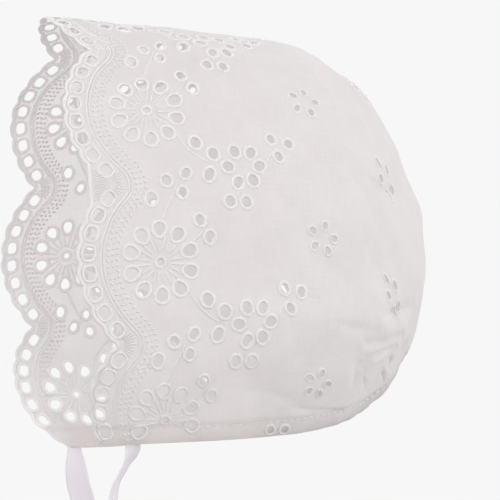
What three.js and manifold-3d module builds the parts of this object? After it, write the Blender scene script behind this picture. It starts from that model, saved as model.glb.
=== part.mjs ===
// Baby bonnet of white pierced embroidery, in millimetres with +Z up.
// The face opens towards -Y and the wearer's left is +X.
// The origin is the inside of the crown, where it sits on top of the head.
import * as THREE from 'three';
import { mergeVertices } from 'three/addons/utils/BufferGeometryUtils.js';
import Module from 'manifold-3d';

const wasm = await Module();
wasm.setup();

// Cloth and hem
const CLOTH_WALL = 1.2;
const CASING_HEIGHT = 8;
const CASING_PROUD = 0.5;
const CASING_WALL = 2.4;
const SEAM_GAP = 0.3;

// Scalloped face edge: the middle scallop lies over the forehead
const SCALLOP_PITCH = 58;
const SCALLOP_DEPTH = 11.5;
const SCALLOP_SIDES = 3;
const SCALLOP_STEPS = 8;
const SCALLOP_RADIUS = ((SCALLOP_PITCH / 2) ** 2 + SCALLOP_DEPTH ** 2) / (2 * SCALLOP_DEPTH);
const PATTERN_SHIFT = 1;

// Eyelets of the ladder that follows each scallop
const LADDER_PER_SCALLOP = 8;
const LADDER_INSET = 3.7;
const LADDER_HALF_WIDTH = 2.4;
const LADDER_HALF_DEPTH = 2;
const LADDER_CORNERS = 6;

// Large flowers: a ring of petals behind each scallop
const FLOWER_BACK = 29.8;
const FLOWER_HALF_ROUND = 12;
const FLOWER_HALF_BACK = 10.2;
const FLOWER_PETALS = 10;
const PETAL_HALF_LENGTH = 2.5;
const PETAL_HALF_WIDTH = 2;
const PETAL_CORNERS = 6;
const EYELET_MARGIN = 3;

// Ribbon ties
const RIBBON_THICKNESS = 1;

// How finely the curved cloth is divided
const ROWS = 16;
const HIDDEN_COLUMNS = 4;
const ARC_STEPS = 28;
const RUN_STEPS = 60;
const RUN_PLACE = 0.4;
const NUDGE = 0.002;

// Blocks that cut the cloth off at the neck
const CUT_REACH = 120;
const CUT_OVERLAP = 0.5;
const CUT_FLOOR = -260;

/** Turns the rows of a table into objects keyed by its column names. */
function table(columns, rows) {
  return rows.map((row) => Object.fromEntries(columns.map((name, index) => [name, row[index]])));
}

// Upright sections of the bonnet from the face edge to the back.
// back: distance behind the origin; crown, sideHeight, bottom: heights of the top, the widest place and
// the closed underside; side: half width; peak: above 1 the arch is pointed; lean: how far the sides lie
// before the top; sweep: how far the cloth has turned back again at SWEEP_REACH below the widest place.
const SWEEP_REACH = 40;
const SECTIONS = table(['back', 'crown', 'side', 'sideHeight', 'bottom', 'peak', 'lean', 'sweep'], [
  [-88.5, 4.9, 61.6, -116.7, -180.5, 1.105, 2.55, 8.5],
  [-62, 4.7, 64.5, -115.5, -180.5, 1.07, 2.2, 6.5],
  [-35, 3.9, 66, -112.5, -178, 1.03, 1.2, 3.2],
  [-6, 1.6, 65, -105.5, -171.5, 1, 0.3, 0.6],
  [22, -3.6, 59.5, -98.5, -162, 0.97, 0, 0],
  [45, -21.1, 48, -92.5, -150.5, 0.96, 0, -0.8],
  [60, -44.1, 33, -89.5, -138.5, 0.96, 0, -2.3],
  [68.5, -65.4, 16.5, -88.5, -115, 0.98, 0, -3.6],
  [71, -88, 0, -88, -88, 1, 0, -3.6],
]);

// How far the scallops' tips lie behind the first section, at distances round the face edge from the top.
const TIP_LINE = table(['distance', 'back'], [
  [-250, 9.5],
  [-173, 6.4],
  [-115, 4],
  [-57, 3],
  [1, 3.1],
  [59, 1.4],
  [117, 2.1],
  [175, 4],
  [250, 7],
]);

// Side view of the neck edge; the right front corner droops below it.
const NECK_LINE = table(['back', 'height'], [
  [-100, -154],
  [-60, -154],
  [-30, -154],
  [0, -153.3],
  [20, -151.7],
  [38, -148.7],
  [50, -143.4],
  [60, -134.8],
  [76, -119],
]);
const NECK_STEPS = 28;
const CORNER_DROOP = 10.2;
const DROOP_START = 15;
const DROOP_FULL = -45;

// Folds and gathers of the cloth, on both sides, each a ridge (or a dent below 0) between two places.
// around: 0 at the top to 1 under the nape; along: 0 at the face edge to 1 at the back.
const FOLDS = table(['around', 'along', 'aroundEnd', 'alongEnd', 'depth', 'width'], [
  [0.7, 0.5, 0.64, 0.72, 0.8, 6],
  [0.22, 0.74, 0.36, 0.88, -0.9, 4],
  [0.7, 0.84, 0.56, 0.92, -0.9, 4],
  [0.8, 0.55, 0.72, 0.72, -1, 4.5],
  [0.83, 0.6, 0.76, 0.78, 1.2, 4],
  [0.88, 0.65, 0.8, 0.82, -1.2, 4],
  [0.92, 0.7, 0.85, 0.86, 1.3, 4],
  [0.97, 0.74, 0.92, 0.88, -1.2, 4],
]);

// Share of a fold's length, each way from its middle, at full height, and the share over which it fades
const FOLD_LEVEL = 0.3;
const FOLD_FADE = 0.3;

// Routes of the ties from their sewn ends: across, back and height of the ribbon's middle, its turn
// about its length in degrees, and its width, which is pinched where it comes out of the hem's fold.
const TIE_COLUMNS = ['across', 'back', 'height', 'turn', 'width'];
const LEFT_TIE = table(TIE_COLUMNS, [
  [51.4, -65.6, -154.3, 0, 5.6],
  [51.4, -65.6, -155.4, -4, 5.6],
  [51, -66.3, -157.8, -20, 5.6],
  [50.2, -67.6, -160.8, -44, 6],
  [49.1, -69.3, -164.6, -50, 7],
  [48, -71.1, -168.8, -54, 8.2],
  [47, -72, -175, -54, 9.2],
  [46.3, -72.6, -185, -52, 9.5],
  [46, -72.8, -200, -48, 9.5],
  [46, -72.8, -220, -40, 9.5],
  [46, -72.8, -245, -30, 9.5],
  [46, -72.8, -272, -20, 9.5],
  [46, -72.8, -300, -12, 9.5],
  [46, -72.8, -324, -8, 9.5],
  [46, -72.8, -346, -5, 9.5],
]);
const RIGHT_TIE = table(TIE_COLUMNS, [
  [-41.5, -61, -164.5, 4, 5.7],
  [-41.5, -61, -166, 5, 5.9],
  [-41.2, -60.8, -168.5, 10, 7],
  [-41, -60.6, -171, 15, 8.1],
  [-40.8, -60.2, -174.5, 18, 8.9],
  [-40.8, -59.2, -180, 20, 9.4],
  [-40.8, -57.4, -186, 20, 9.5],
  [-40.8, -56, -193, 20, 9.5],
  [-40.8, -55, -203, 18, 9.5],
  [-40.8, -54.6, -218, 14, 9.5],
  [-40.8, -54.6, -238, 10, 9.5],
  [-40.8, -54.6, -262, 6, 9.5],
  [-40.8, -54.6, -290, 2, 9.5],
  [-40.8, -54.6, -320, -2, 9.5],
  [-40.8, -54.6, -352, -6, 9.5],
]);

const WHITE_COTTON = new THREE.MeshStandardMaterial({ color: 0xe6e3e1, roughness: 0.9, metalness: 0 });
const WHITE_HEM = new THREE.MeshStandardMaterial({ color: 0xe2dfdd, roughness: 0.9, metalness: 0 });
const WHITE_SATIN = new THREE.MeshStandardMaterial({ color: 0xe4e2ea, roughness: 0.45, metalness: 0 });

/** Smooth step from 0 to 1 between two limits. */
function ease(value, start, full) {
  const share = THREE.MathUtils.clamp((value - start) / (full - start), 0, 1);
  return share * share * (3 - 2 * share);
}

/** Cubic through four evenly spaced values, between the middle two. */
function cubic(before, from, to, after, share) {
  const slope = (to - before) / 2;
  const slopeEnd = (after - from) / 2;
  const square = share * share;
  const cube = square * share;
  return (2 * cube - 3 * square + 1) * from + (cube - 2 * square + share) * slope
    + (3 * square - 2 * cube) * to + (cube - square) * slopeEnd;
}

/** Section past the face edge, in line with the first two. */
function sectionBefore() {
  const [first, second] = SECTIONS;
  return Object.fromEntries(Object.keys(first).map((name) => [name, 2 * first[name] - second[name]]));
}

/** Section past the back, turned over so that the back closes round. */
function sectionAfter() {
  const last = SECTIONS[SECTIONS.length - 2];
  return { ...last, side: -last.side, crown: last.bottom, bottom: last.crown };
}

const SECTION_RUN = [sectionBefore(), ...SECTIONS, sectionAfter()];

/** Section at a share of the way from the face edge to the back. */
function sectionAt(along) {
  const spans = SECTIONS.length - 1;
  const place = THREE.MathUtils.clamp(along, 0, 1) * spans;
  const start = Math.min(Math.floor(place), spans - 1);
  const four = SECTION_RUN.slice(start, start + 4);
  const section = {};
  for (const name of Object.keys(SECTIONS[0])) {
    section[name] = cubic(...four.map((row) => row[name]), place - start);
  }
  return section;
}

/** Points of half a section from the top to the underside, with the distance along it. */
function halfSection(section) {
  const { crown, side, sideHeight, bottom, peak } = section;
  const points = [];
  for (let step = 0; step <= ARC_STEPS; step += 1) {
    const angle = (step / ARC_STEPS) * Math.PI / 2;
    const across = side * Math.sin(angle) ** peak;
    const height = sideHeight + (crown - sideHeight) * Math.max(0, Math.cos(angle)) ** peak;
    points.push({ across, height, distance: 0 });
  }
  for (let step = 1; step <= ARC_STEPS; step += 1) {
    const angle = (step / ARC_STEPS) * Math.PI / 2;
    const across = side * Math.cos(angle);
    const height = sideHeight - (sideHeight - bottom) * Math.sin(angle);
    points.push({ across, height, distance: 0 });
  }
  for (let step = 1; step < points.length; step += 1) {
    const from = points[step - 1];
    const to = points[step];
    to.distance = from.distance + Math.hypot(to.across - from.across, to.height - from.height);
  }
  return points;
}

/** Length of half a section, from the top to the underside. */
function halfLength(along) {
  return halfSection(sectionAt(along)).at(-1).distance;
}

const FACE_HALF = halfLength(0);

/** Smooth surface of the bonnet without its folds; around runs from -1 to 1, 0 at the top. */
function surfacePoint(along, around) {
  const section = sectionAt(along);
  const points = halfSection(section);
  const wanted = Math.abs(around) * points.at(-1).distance;
  const end = Math.max(1, points.findIndex((point) => point.distance >= wanted));
  const from = points[end - 1];
  const to = points[end];
  const share = (wanted - from.distance) / Math.max(to.distance - from.distance, 1e-9);
  const across = THREE.MathUtils.lerp(from.across, to.across, share) * Math.sign(around);
  const height = THREE.MathUtils.lerp(from.height, to.height, share);
  const below = Math.max(0, section.sideHeight - height) / SWEEP_REACH;
  const forward = section.lean * Math.abs(across) / Math.max(section.side, 1);
  return new THREE.Vector3(across, section.back - forward + section.sweep * below * below, height);
}

/** Place on the surface with its outward normal and the directions round and along the bonnet. */
function surfaceFrame(along, around) {
  const near = Math.min(along, 1 - NUDGE);
  const point = surfacePoint(along, around);
  const round = surfacePoint(near, around + NUDGE).sub(surfacePoint(near, around - NUDGE)).normalize();
  const backward = surfacePoint(near + NUDGE, around).sub(surfacePoint(near - NUDGE, around)).normalize();
  const normal = new THREE.Vector3().crossVectors(round, backward).normalize();
  return { point, round, backward: new THREE.Vector3().crossVectors(normal, round), normal };
}

/** Length of the cloth from the face edge to the back, at one place round the bonnet. */
function surfaceRun(around) {
  let length = 0;
  for (let step = 1; step <= RUN_STEPS; step += 1) {
    const from = surfacePoint((step - 1) / RUN_STEPS, around);
    length += from.distanceTo(surfacePoint(step / RUN_STEPS, around));
  }
  return length;
}

const BACK_LENGTH = surfaceRun(RUN_PLACE);

/** Height of the folds above the smooth surface. */
function foldHeight(along, around) {
  const half = halfLength(along);
  let height = 0;
  for (const fold of FOLDS) {
    const flat = new THREE.Vector2(half, BACK_LENGTH);
    const from = new THREE.Vector2(fold.around, fold.along);
    const run = new THREE.Vector2(fold.aroundEnd, fold.alongEnd).sub(from).multiply(flat);
    const here = new THREE.Vector2(Math.abs(around), along).sub(from).multiply(flat);
    const fromMiddle = Math.abs(here.dot(run) / run.lengthSq() - 0.5);
    const aside = here.cross(run) / run.length() / fold.width;
    const past = Math.max(0, fromMiddle - FOLD_LEVEL) / FOLD_FADE;
    height += fold.depth * Math.exp(-aside * aside - past * past);
  }
  return height;
}

/** Place of the line through the scallops' tips, at a distance round the face edge. */
function tipBack(distance) {
  const end = Math.max(1, TIP_LINE.findIndex((place) => place.distance >= distance));
  const from = TIP_LINE[end - 1];
  const to = TIP_LINE[end];
  return THREE.MathUtils.mapLinear(distance, from.distance, to.distance, from.back, to.back);
}

/** How far the edge is cut back between scallop tips, at a distance round the face edge. */
function scallopCut(distance) {
  const half = SCALLOP_PITCH / 2;
  const fromTip = THREE.MathUtils.euclideanModulo(distance - PATTERN_SHIFT + half, SCALLOP_PITCH) - half;
  return SCALLOP_RADIUS - Math.sqrt(SCALLOP_RADIUS ** 2 - fromTip ** 2);
}

/** Places round the bonnet of the mesh columns: even steps over the scallops, fewer below the neck. */
function columnPlaces() {
  const reach = (SCALLOP_SIDES + 0.5) * SCALLOP_PITCH;
  const steps = (2 * SCALLOP_SIDES + 1) * SCALLOP_STEPS;
  const places = [];
  for (let step = 0; step <= steps; step += 1) {
    places.push((PATTERN_SHIFT - reach + (2 * reach * step) / steps) / FACE_HALF);
  }
  const first = places[0] + 2;
  const last = places.at(-1);
  for (let step = 1; step <= HIDDEN_COLUMNS; step += 1) {
    const place = last + ((first - last) * step) / (HIDDEN_COLUMNS + 1);
    places.push(place > 1 ? place - 2 : place);
  }
  return places;
}

/** Solid from points and triangles. */
function solidFrom(points, triangles) {
  const vertProperties = new Float32Array(points.flatMap((point) => point.toArray()));
  const triVerts = new Uint32Array(triangles.flat());
  return new wasm.Manifold(new wasm.Mesh({ numProp: 3, vertProperties, triVerts }));
}

/** Closed shell of the whole bonnet between two distances from its surface, open at the face. */
function bonnetShell(outside, inside) {
  const places = columnPlaces();
  const columns = places.length;
  const points = [];
  for (const offset of [outside, inside]) {
    for (let row = 0; row < ROWS; row += 1) {
      for (const around of places) {
        const distance = around * FACE_HALF;
        const edge = (tipBack(distance) + scallopCut(distance)) / BACK_LENGTH;
        const along = edge + (1 - edge) * (row / ROWS);
        const { point, normal } = surfaceFrame(along, around);
        points.push(point.addScaledVector(normal, offset + foldHeight(along, around)));
      }
    }
    points.push(surfacePoint(1, 0).add(new THREE.Vector3(0, offset, 0)));
  }
  const layer = ROWS * columns + 1;
  const triangles = [];
  for (let column = 0; column < columns; column += 1) {
    const next = (column + 1) % columns;
    for (let row = 0; row < ROWS; row += 1) {
      const here = row * columns + column;
      const beside = row * columns + next;
      const isLast = row === ROWS - 1;
      const behind = isLast ? layer - 1 : here + columns;
      const across = isLast ? layer - 1 : beside + columns;
      triangles.push([here, beside, across], [here + layer, across + layer, beside + layer]);
      if (!isLast) {
        triangles.push([here, across, behind], [here + layer, behind + layer, across + layer]);
      }
    }
    triangles.push([next, column, column + layer], [next, column + layer, next + layer]);
  }
  return solidFrom(points, triangles);
}

/** Neck edge in side view, raised square to itself; droop lowers the front corner. */
function neckEdge(lift, droop) {
  const curve = new THREE.SplineCurve(NECK_LINE.map(({ back, height }) => new THREE.Vector2(back, height)));
  const edge = [];
  for (let step = 0; step <= NECK_STEPS; step += 1) {
    const point = curve.getPoint(step / NECK_STEPS);
    const tangent = curve.getTangent(step / NECK_STEPS);
    point.addScaledVector(new THREE.Vector2(-tangent.y, tangent.x), lift);
    point.y -= droop * ease(point.x, DROOP_START, DROOP_FULL);
    edge.push(point);
  }
  return edge;
}

/** Everything below the raised neck edge, on the left (side 1) or on the right (side -1). */
function belowNeck(lift, side) {
  const edge = neckEdge(lift, side < 0 ? CORNER_DROOP : 0);
  const outline = [new THREE.Vector2(edge[0].x, CUT_FLOOR), new THREE.Vector2(edge.at(-1).x, CUT_FLOOR)];
  const shape = new THREE.Shape([...outline, ...edge.reverse()]);
  const depth = CUT_REACH + CUT_OVERLAP;
  const block = new THREE.ExtrudeGeometry(shape, { depth, bevelEnabled: false, steps: 1 });
  const [sideways, backward, upward] = [0, 1, 2].map((axis) => new THREE.Vector3().setComponent(axis, 1));
  block.applyMatrix4(new THREE.Matrix4().makeBasis(backward, upward, sideways));
  block.translate(side < 0 ? -CUT_REACH : -CUT_OVERLAP, 0, 0);
  return solidFromGeometry(block);
}

/** Solid from a geometry whose corners are first merged. */
function solidFromGeometry(geometry) {
  geometry.deleteAttribute('normal');
  geometry.deleteAttribute('uv');
  const merged = mergeVertices(geometry);
  const vertProperties = new Float32Array(merged.getAttribute('position').array);
  const triVerts = new Uint32Array(merged.getIndex().array);
  return new wasm.Manifold(new wasm.Mesh({ numProp: 3, vertProperties, triVerts }));
}

/** Prism through the cloth with an oval outline, turned in the cloth. */
function eyeletCutter({ along, around, halfRound, halfBack, turn, corners }) {
  const { point, round, backward, normal } = surfaceFrame(along, around);
  const points = [];
  for (const depth of [EYELET_MARGIN, -EYELET_MARGIN - CLOTH_WALL]) {
    for (let corner = 0; corner < corners; corner += 1) {
      const angle = ((corner + 0.5) / corners) * 2 * Math.PI;
      const oval = new THREE.Vector2(halfRound * Math.cos(angle), halfBack * Math.sin(angle));
      oval.rotateAround(new THREE.Vector2(), turn);
      points.push(point.clone().addScaledVector(round, oval.x).addScaledVector(backward, oval.y)
        .addScaledVector(normal, depth));
    }
  }
  const triangles = [];
  for (let corner = 0; corner < corners; corner += 1) {
    const next = (corner + 1) % corners;
    triangles.push([corner + corners, next + corners, next], [corner + corners, next, corner]);
    if (corner > 0 && corner < corners - 1) {
      triangles.push([0, corner, next], [corners, corners + next, corners + corner]);
    }
  }
  return solidFrom(points, triangles);
}

/** Eyelets of the ladders along the scallops. */
function ladderEyelets() {
  const spread = Math.asin(SCALLOP_PITCH / 2 / SCALLOP_RADIUS);
  const reach = SCALLOP_RADIUS - LADDER_INSET;
  const eyelets = [];
  for (let scallop = -SCALLOP_SIDES; scallop <= SCALLOP_SIDES; scallop += 1) {
    for (let step = 0; step < LADDER_PER_SCALLOP; step += 1) {
      const angle = spread * ((2 * step + 1) / LADDER_PER_SCALLOP - 1);
      const distance = PATTERN_SHIFT + scallop * SCALLOP_PITCH + reach * Math.sin(angle);
      const back = tipBack(distance) + SCALLOP_RADIUS - reach * Math.cos(angle);
      eyelets.push({
        along: back / BACK_LENGTH,
        around: distance / FACE_HALF,
        halfRound: LADDER_HALF_WIDTH,
        halfBack: LADDER_HALF_DEPTH,
        turn: angle,
        corners: LADDER_CORNERS,
      });
    }
  }
  return eyelets;
}

/** Petal eyelets of the large flowers. */
function flowerEyelets() {
  const eyelets = [];
  for (let scallop = -SCALLOP_SIDES; scallop <= SCALLOP_SIDES; scallop += 1) {
    const centre = (PATTERN_SHIFT + scallop * SCALLOP_PITCH) / FACE_HALF;
    for (let petal = 0; petal < FLOWER_PETALS; petal += 1) {
      const angle = (petal / FLOWER_PETALS) * 2 * Math.PI;
      const along = (FLOWER_BACK + FLOWER_HALF_BACK * Math.sin(angle)) / BACK_LENGTH;
      eyelets.push({
        along,
        around: centre + (FLOWER_HALF_ROUND * Math.cos(angle)) / halfLength(along),
        halfRound: PETAL_HALF_LENGTH,
        halfBack: PETAL_HALF_WIDTH,
        turn: angle,
        corners: PETAL_CORNERS,
      });
    }
  }
  return eyelets;
}

/** Whether an eyelet lies whole in the crown, clear of the hem. */
function isInCrown({ along, around }) {
  const point = surfacePoint(along, around);
  const edge = neckEdge(CASING_HEIGHT + EYELET_MARGIN, around < 0 ? CORNER_DROOP : 0);
  const after = edge.findIndex((place) => place.x >= point.y);
  return point.z > edge[after].y;
}

/** Mesh from a cut solid. */
function meshFrom(solid, name, material) {
  const { vertProperties, triVerts } = solid.getMesh();
  const geometry = new THREE.BufferGeometry();
  geometry.setAttribute('position', new THREE.BufferAttribute(vertProperties, 3));
  geometry.setIndex(new THREE.BufferAttribute(triVerts, 1));
  geometry.computeVertexNormals();
  const mesh = new THREE.Mesh(geometry, material);
  mesh.name = name;
  return mesh;
}

/** Embroidered cloth of the bonnet, down to the hem. */
function crown() {
  const cutters = [...ladderEyelets(), ...flowerEyelets()].filter(isInCrown).map(eyeletCutter);
  const lift = CASING_HEIGHT + SEAM_GAP;
  const solid = wasm.Manifold.difference([
    bonnetShell(0, -CLOTH_WALL), belowNeck(lift, 1), belowNeck(lift, -1), ...cutters,
  ]);
  return meshFrom(solid, 'crown', WHITE_COTTON);
}

/** Hem turned up round the neck from one front corner to the other. */
function neckCasing() {
  const shell = bonnetShell(CASING_PROUD, CASING_PROUD - CASING_WALL);
  const below = belowNeck(CASING_HEIGHT, 1).add(belowNeck(CASING_HEIGHT, -1));
  const solid = shell.intersect(below).subtract(belowNeck(0, 1)).subtract(belowNeck(0, -1));
  return meshFrom(solid, 'neck_casing', WHITE_HEM);
}

/** Middle of a ribbon at one place of its route. */
function routePoint({ across, back, height }) {
  return new THREE.Vector3(across, back, height);
}

/** Ribbon swept along its route, its width turned about its length. */
function tie(route, name) {
  const points = [];
  route.forEach((place, step) => {
    const from = route[Math.max(step - 1, 0)];
    const to = route[Math.min(step + 1, route.length - 1)];
    const along = routePoint(to).sub(routePoint(from)).normalize();
    const flat = new THREE.Vector3(0, 1, 0).addScaledVector(along, -along.y).normalize();
    flat.applyAxisAngle(along, THREE.MathUtils.degToRad(place.turn));
    const thick = new THREE.Vector3().crossVectors(along, flat);
    for (const [wide, deep] of [[1, 1], [-1, 1], [-1, -1], [1, -1]]) {
      points.push(routePoint(place)
        .addScaledVector(flat, (wide * place.width) / 2)
        .addScaledVector(thick, (deep * RIBBON_THICKNESS) / 2));
    }
  });
  const last = points.length - 4;
  const triangles = [[0, 2, 1], [0, 3, 2], [last, last + 1, last + 2], [last, last + 2, last + 3]];
  for (let step = 0; step < last; step += 4) {
    for (let corner = 0; corner < 4; corner += 1) {
      const here = step + corner;
      const beside = step + (corner + 1) % 4;
      triangles.push([here, beside, beside + 4], [here, beside + 4, here + 4]);
    }
  }
  return meshFrom(solidFrom(points, triangles), name, WHITE_SATIN);
}

const bonnet = new THREE.Group();
bonnet.add(
  crown(),
  neckCasing(),
  tie(LEFT_TIE, 'tie_left'),
  tie(RIGHT_TIE, 'tie_right'),
);

export default bonnet;
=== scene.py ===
"""Baby bonnet of white pierced embroidery, dressed for its picture.

The bonnet is worked out in millimetres: +Z is up, the face opens towards -Y and the wearer's left is +X.
Meshes are made in metres. Places on the cloth are given in one of three ways:

* along and around: shares of the way from the face edge to the back, and from the top to under the nape;
* pattern millimetres: round the face edge from the top, and back from the face edge;
* flat millimetres: true lengths of cloth, round from the top and back from the face edge.
"""
import logging
import math
from collections.abc import Callable, Iterable, Sequence
from dataclasses import dataclass, field
from enum import Enum
from typing import NamedTuple

import bmesh
import bpy
import numpy as np
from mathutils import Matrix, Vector
from mathutils.geometry import delaunay_2d_cdt
from mathutils.kdtree import KDTree


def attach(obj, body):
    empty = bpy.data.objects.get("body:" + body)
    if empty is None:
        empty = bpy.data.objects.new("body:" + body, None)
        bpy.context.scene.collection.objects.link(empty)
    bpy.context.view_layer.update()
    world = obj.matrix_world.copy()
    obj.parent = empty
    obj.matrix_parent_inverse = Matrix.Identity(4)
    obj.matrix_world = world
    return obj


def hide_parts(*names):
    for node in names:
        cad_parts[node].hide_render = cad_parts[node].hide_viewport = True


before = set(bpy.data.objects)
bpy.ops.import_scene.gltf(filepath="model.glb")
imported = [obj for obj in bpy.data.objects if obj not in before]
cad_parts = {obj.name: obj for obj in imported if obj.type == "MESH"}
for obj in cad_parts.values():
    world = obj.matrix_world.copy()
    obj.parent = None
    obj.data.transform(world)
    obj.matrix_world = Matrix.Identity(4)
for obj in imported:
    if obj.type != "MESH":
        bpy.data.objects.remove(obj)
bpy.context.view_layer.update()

BODY = "root"
FLAT_MEASURE = "flat_cloth"
MM = 0.001
WELD_DISTANCE = 0.002 * MM
DIM_START = -0.3
DIM_FULL = 0.6
TINY = 1e-12
LOG = logging.getLogger("bonnet")

Array = np.ndarray
Colour = tuple[float, float, float]


class Side(Enum):
    """Side of the wearer, with the sign of its X."""

    LEFT = 1
    RIGHT = -1


class StitchForm(Enum):
    """How a raised line of thread is worked: the number of sides of its section."""

    SATIN = 8
    CORD = 6
    FINE = 5


# Shader building


class Socket:
    """Output of a shader node, with the arithmetic of values."""

    def __init__(self, bench: "ShaderBench", link: bpy.types.NodeSocket) -> None:
        """Keeps the node output and the bench that it belongs to."""
        self.bench = bench
        self.link = link

    def _math(self, operation: str, first: "Value", second: "Value" = 0.0) -> "Socket":
        """Result of one Math node on two values."""
        return self.bench.node("ShaderNodeMath", {"operation": operation}, {0: first, 1: second})

    def __add__(self, other: "Value") -> "Socket":
        """Sum of two values."""
        return self._math("ADD", self, other)

    def __radd__(self, other: "Value") -> "Socket":
        """Sum of two values."""
        return self._math("ADD", other, self)

    def __sub__(self, other: "Value") -> "Socket":
        """Difference of two values."""
        return self._math("SUBTRACT", self, other)

    def __rsub__(self, other: "Value") -> "Socket":
        """Difference of two values."""
        return self._math("SUBTRACT", other, self)

    def __mul__(self, other: "Value") -> "Socket":
        """Product of two values."""
        return self._math("MULTIPLY", self, other)

    def __rmul__(self, other: "Value") -> "Socket":
        """Product of two values."""
        return self._math("MULTIPLY", other, self)

    def __abs__(self) -> "Socket":
        """Value without its sign."""
        return self._math("ABSOLUTE", self)

    def __pow__(self, other: "Value") -> "Socket":
        """Value raised to a power."""
        return self._math("POWER", self, other)

    def sine(self) -> "Socket":
        """Sine of an angle in radians."""
        return self._math("SINE", self)


Value = Socket | float


class ShaderBench:
    """Node tree of a material or of the sky."""

    def __init__(self, owner: bpy.types.Material | bpy.types.World) -> None:
        """Empties the owner's node tree.

        Args:
            owner: The material or the sky.
        """
        self.owner = owner
        owner.use_nodes = True
        self.tree = owner.node_tree
        self.tree.nodes.clear()

    @classmethod
    def of_material(cls, name: str) -> "ShaderBench":
        """Bench of a new material with this name."""
        return cls(bpy.data.materials.new(name))

    def node(
        self,
        kind: str,
        settings: dict[str, object] | None = None,
        inputs: dict[int | str, "Socket | float | Sequence[float]"] | None = None,
        output: int | str = 0,
    ) -> Socket:
        """Adds a node, sets it up and links it.

        Args:
            kind: Type of the node.
            settings: Its own settings, such as a Math node's operation.
            inputs: Values or links of its sockets, by place or name.
            output: Which output is wanted.

        Returns:
            The wanted output.
        """
        made = self.tree.nodes.new(kind)
        for name, value in (settings or {}).items():
            setattr(made, name, value)
        for key, value in (inputs or {}).items():
            if isinstance(value, Socket):
                self.tree.links.new(value.link, made.inputs[key])
            else:
                made.inputs[key].default_value = value
        return Socket(self, made.outputs[output])

    def mixed(self, share: Value, first: "Socket | Colour", second: "Socket | Colour") -> Socket:
        """Blend of two colours, all of the second one where the share is 1."""
        first, second = ((*one, 1.0) if isinstance(one, tuple) else one for one in (first, second))
        return self.node("ShaderNodeMix", {"data_type": "RGBA"}, {0: share, 6: first, 7: second}, 2)

    def cloth_place(self, name: str) -> tuple[Socket, Socket]:
        """Distances across and along a piece, in metres, from the flat measure of that name."""
        place = self.node("ShaderNodeUVMap", {"uv_map": name})
        return tuple(self.node("ShaderNodeSeparateXYZ", None, {0: place}, axis) for axis in (0, 1))

    def noise(self, across: Value, along: Value, detail: float = 2.0) -> Socket:
        """Soft random value over a flat measure.

        Args:
            across: First coordinate, in noise cells.
            along: Second coordinate, in noise cells.
            detail: Number of finer layers.

        Returns:
            A value about 0.5.
        """
        place = self.node("ShaderNodeCombineXYZ", None, {0: across, 1: along})
        return self.node("ShaderNodeTexNoise", {"noise_dimensions": "2D"},
                         {"Vector": place, "Scale": 1.0, "Detail": detail, "Roughness": 0.5})

    def bump(self, height: Socket, distance: float, strength: float) -> Socket:
        """Normal of a surface raised by a height of 0 to 1, where 1 is the distance in metres."""
        return self.node("ShaderNodeBump", None,
                         {"Height": height, "Distance": distance, "Strength": strength})

    def stepped(self, value: Socket, low: float, high: float, ends: tuple[float, float]) -> Socket:
        """Level that goes smoothly from one end to the other while a value goes from low to high."""
        return self.node("ShaderNodeMapRange", {"interpolation_type": "SMOOTHSTEP"},
                         {0: value, 1: low, 2: high, 3: ends[0], 4: ends[1]})

    def facing(self, way: Socket, front: Vector) -> Socket:
        """How far a place lies in one direction."""
        return self.node("ShaderNodeVectorMath", {"operation": "DOT_PRODUCT"}, {0: way, 1: front}, "Value")

    def sided(self, ahead: Socket, front_share: float) -> Socket:
        """Brightness from 1 at the back of the studio to the front share at its front."""
        return self.stepped(ahead, DIM_START, DIM_FULL, (1.0, front_share))

    def finish(self, shader: Socket, kind: str = "ShaderNodeOutputMaterial") -> None:
        """Links the finished shader to an output node."""
        output = self.tree.nodes.new(kind)
        self.tree.links.new(shader.link, output.inputs["Surface"])


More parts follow.
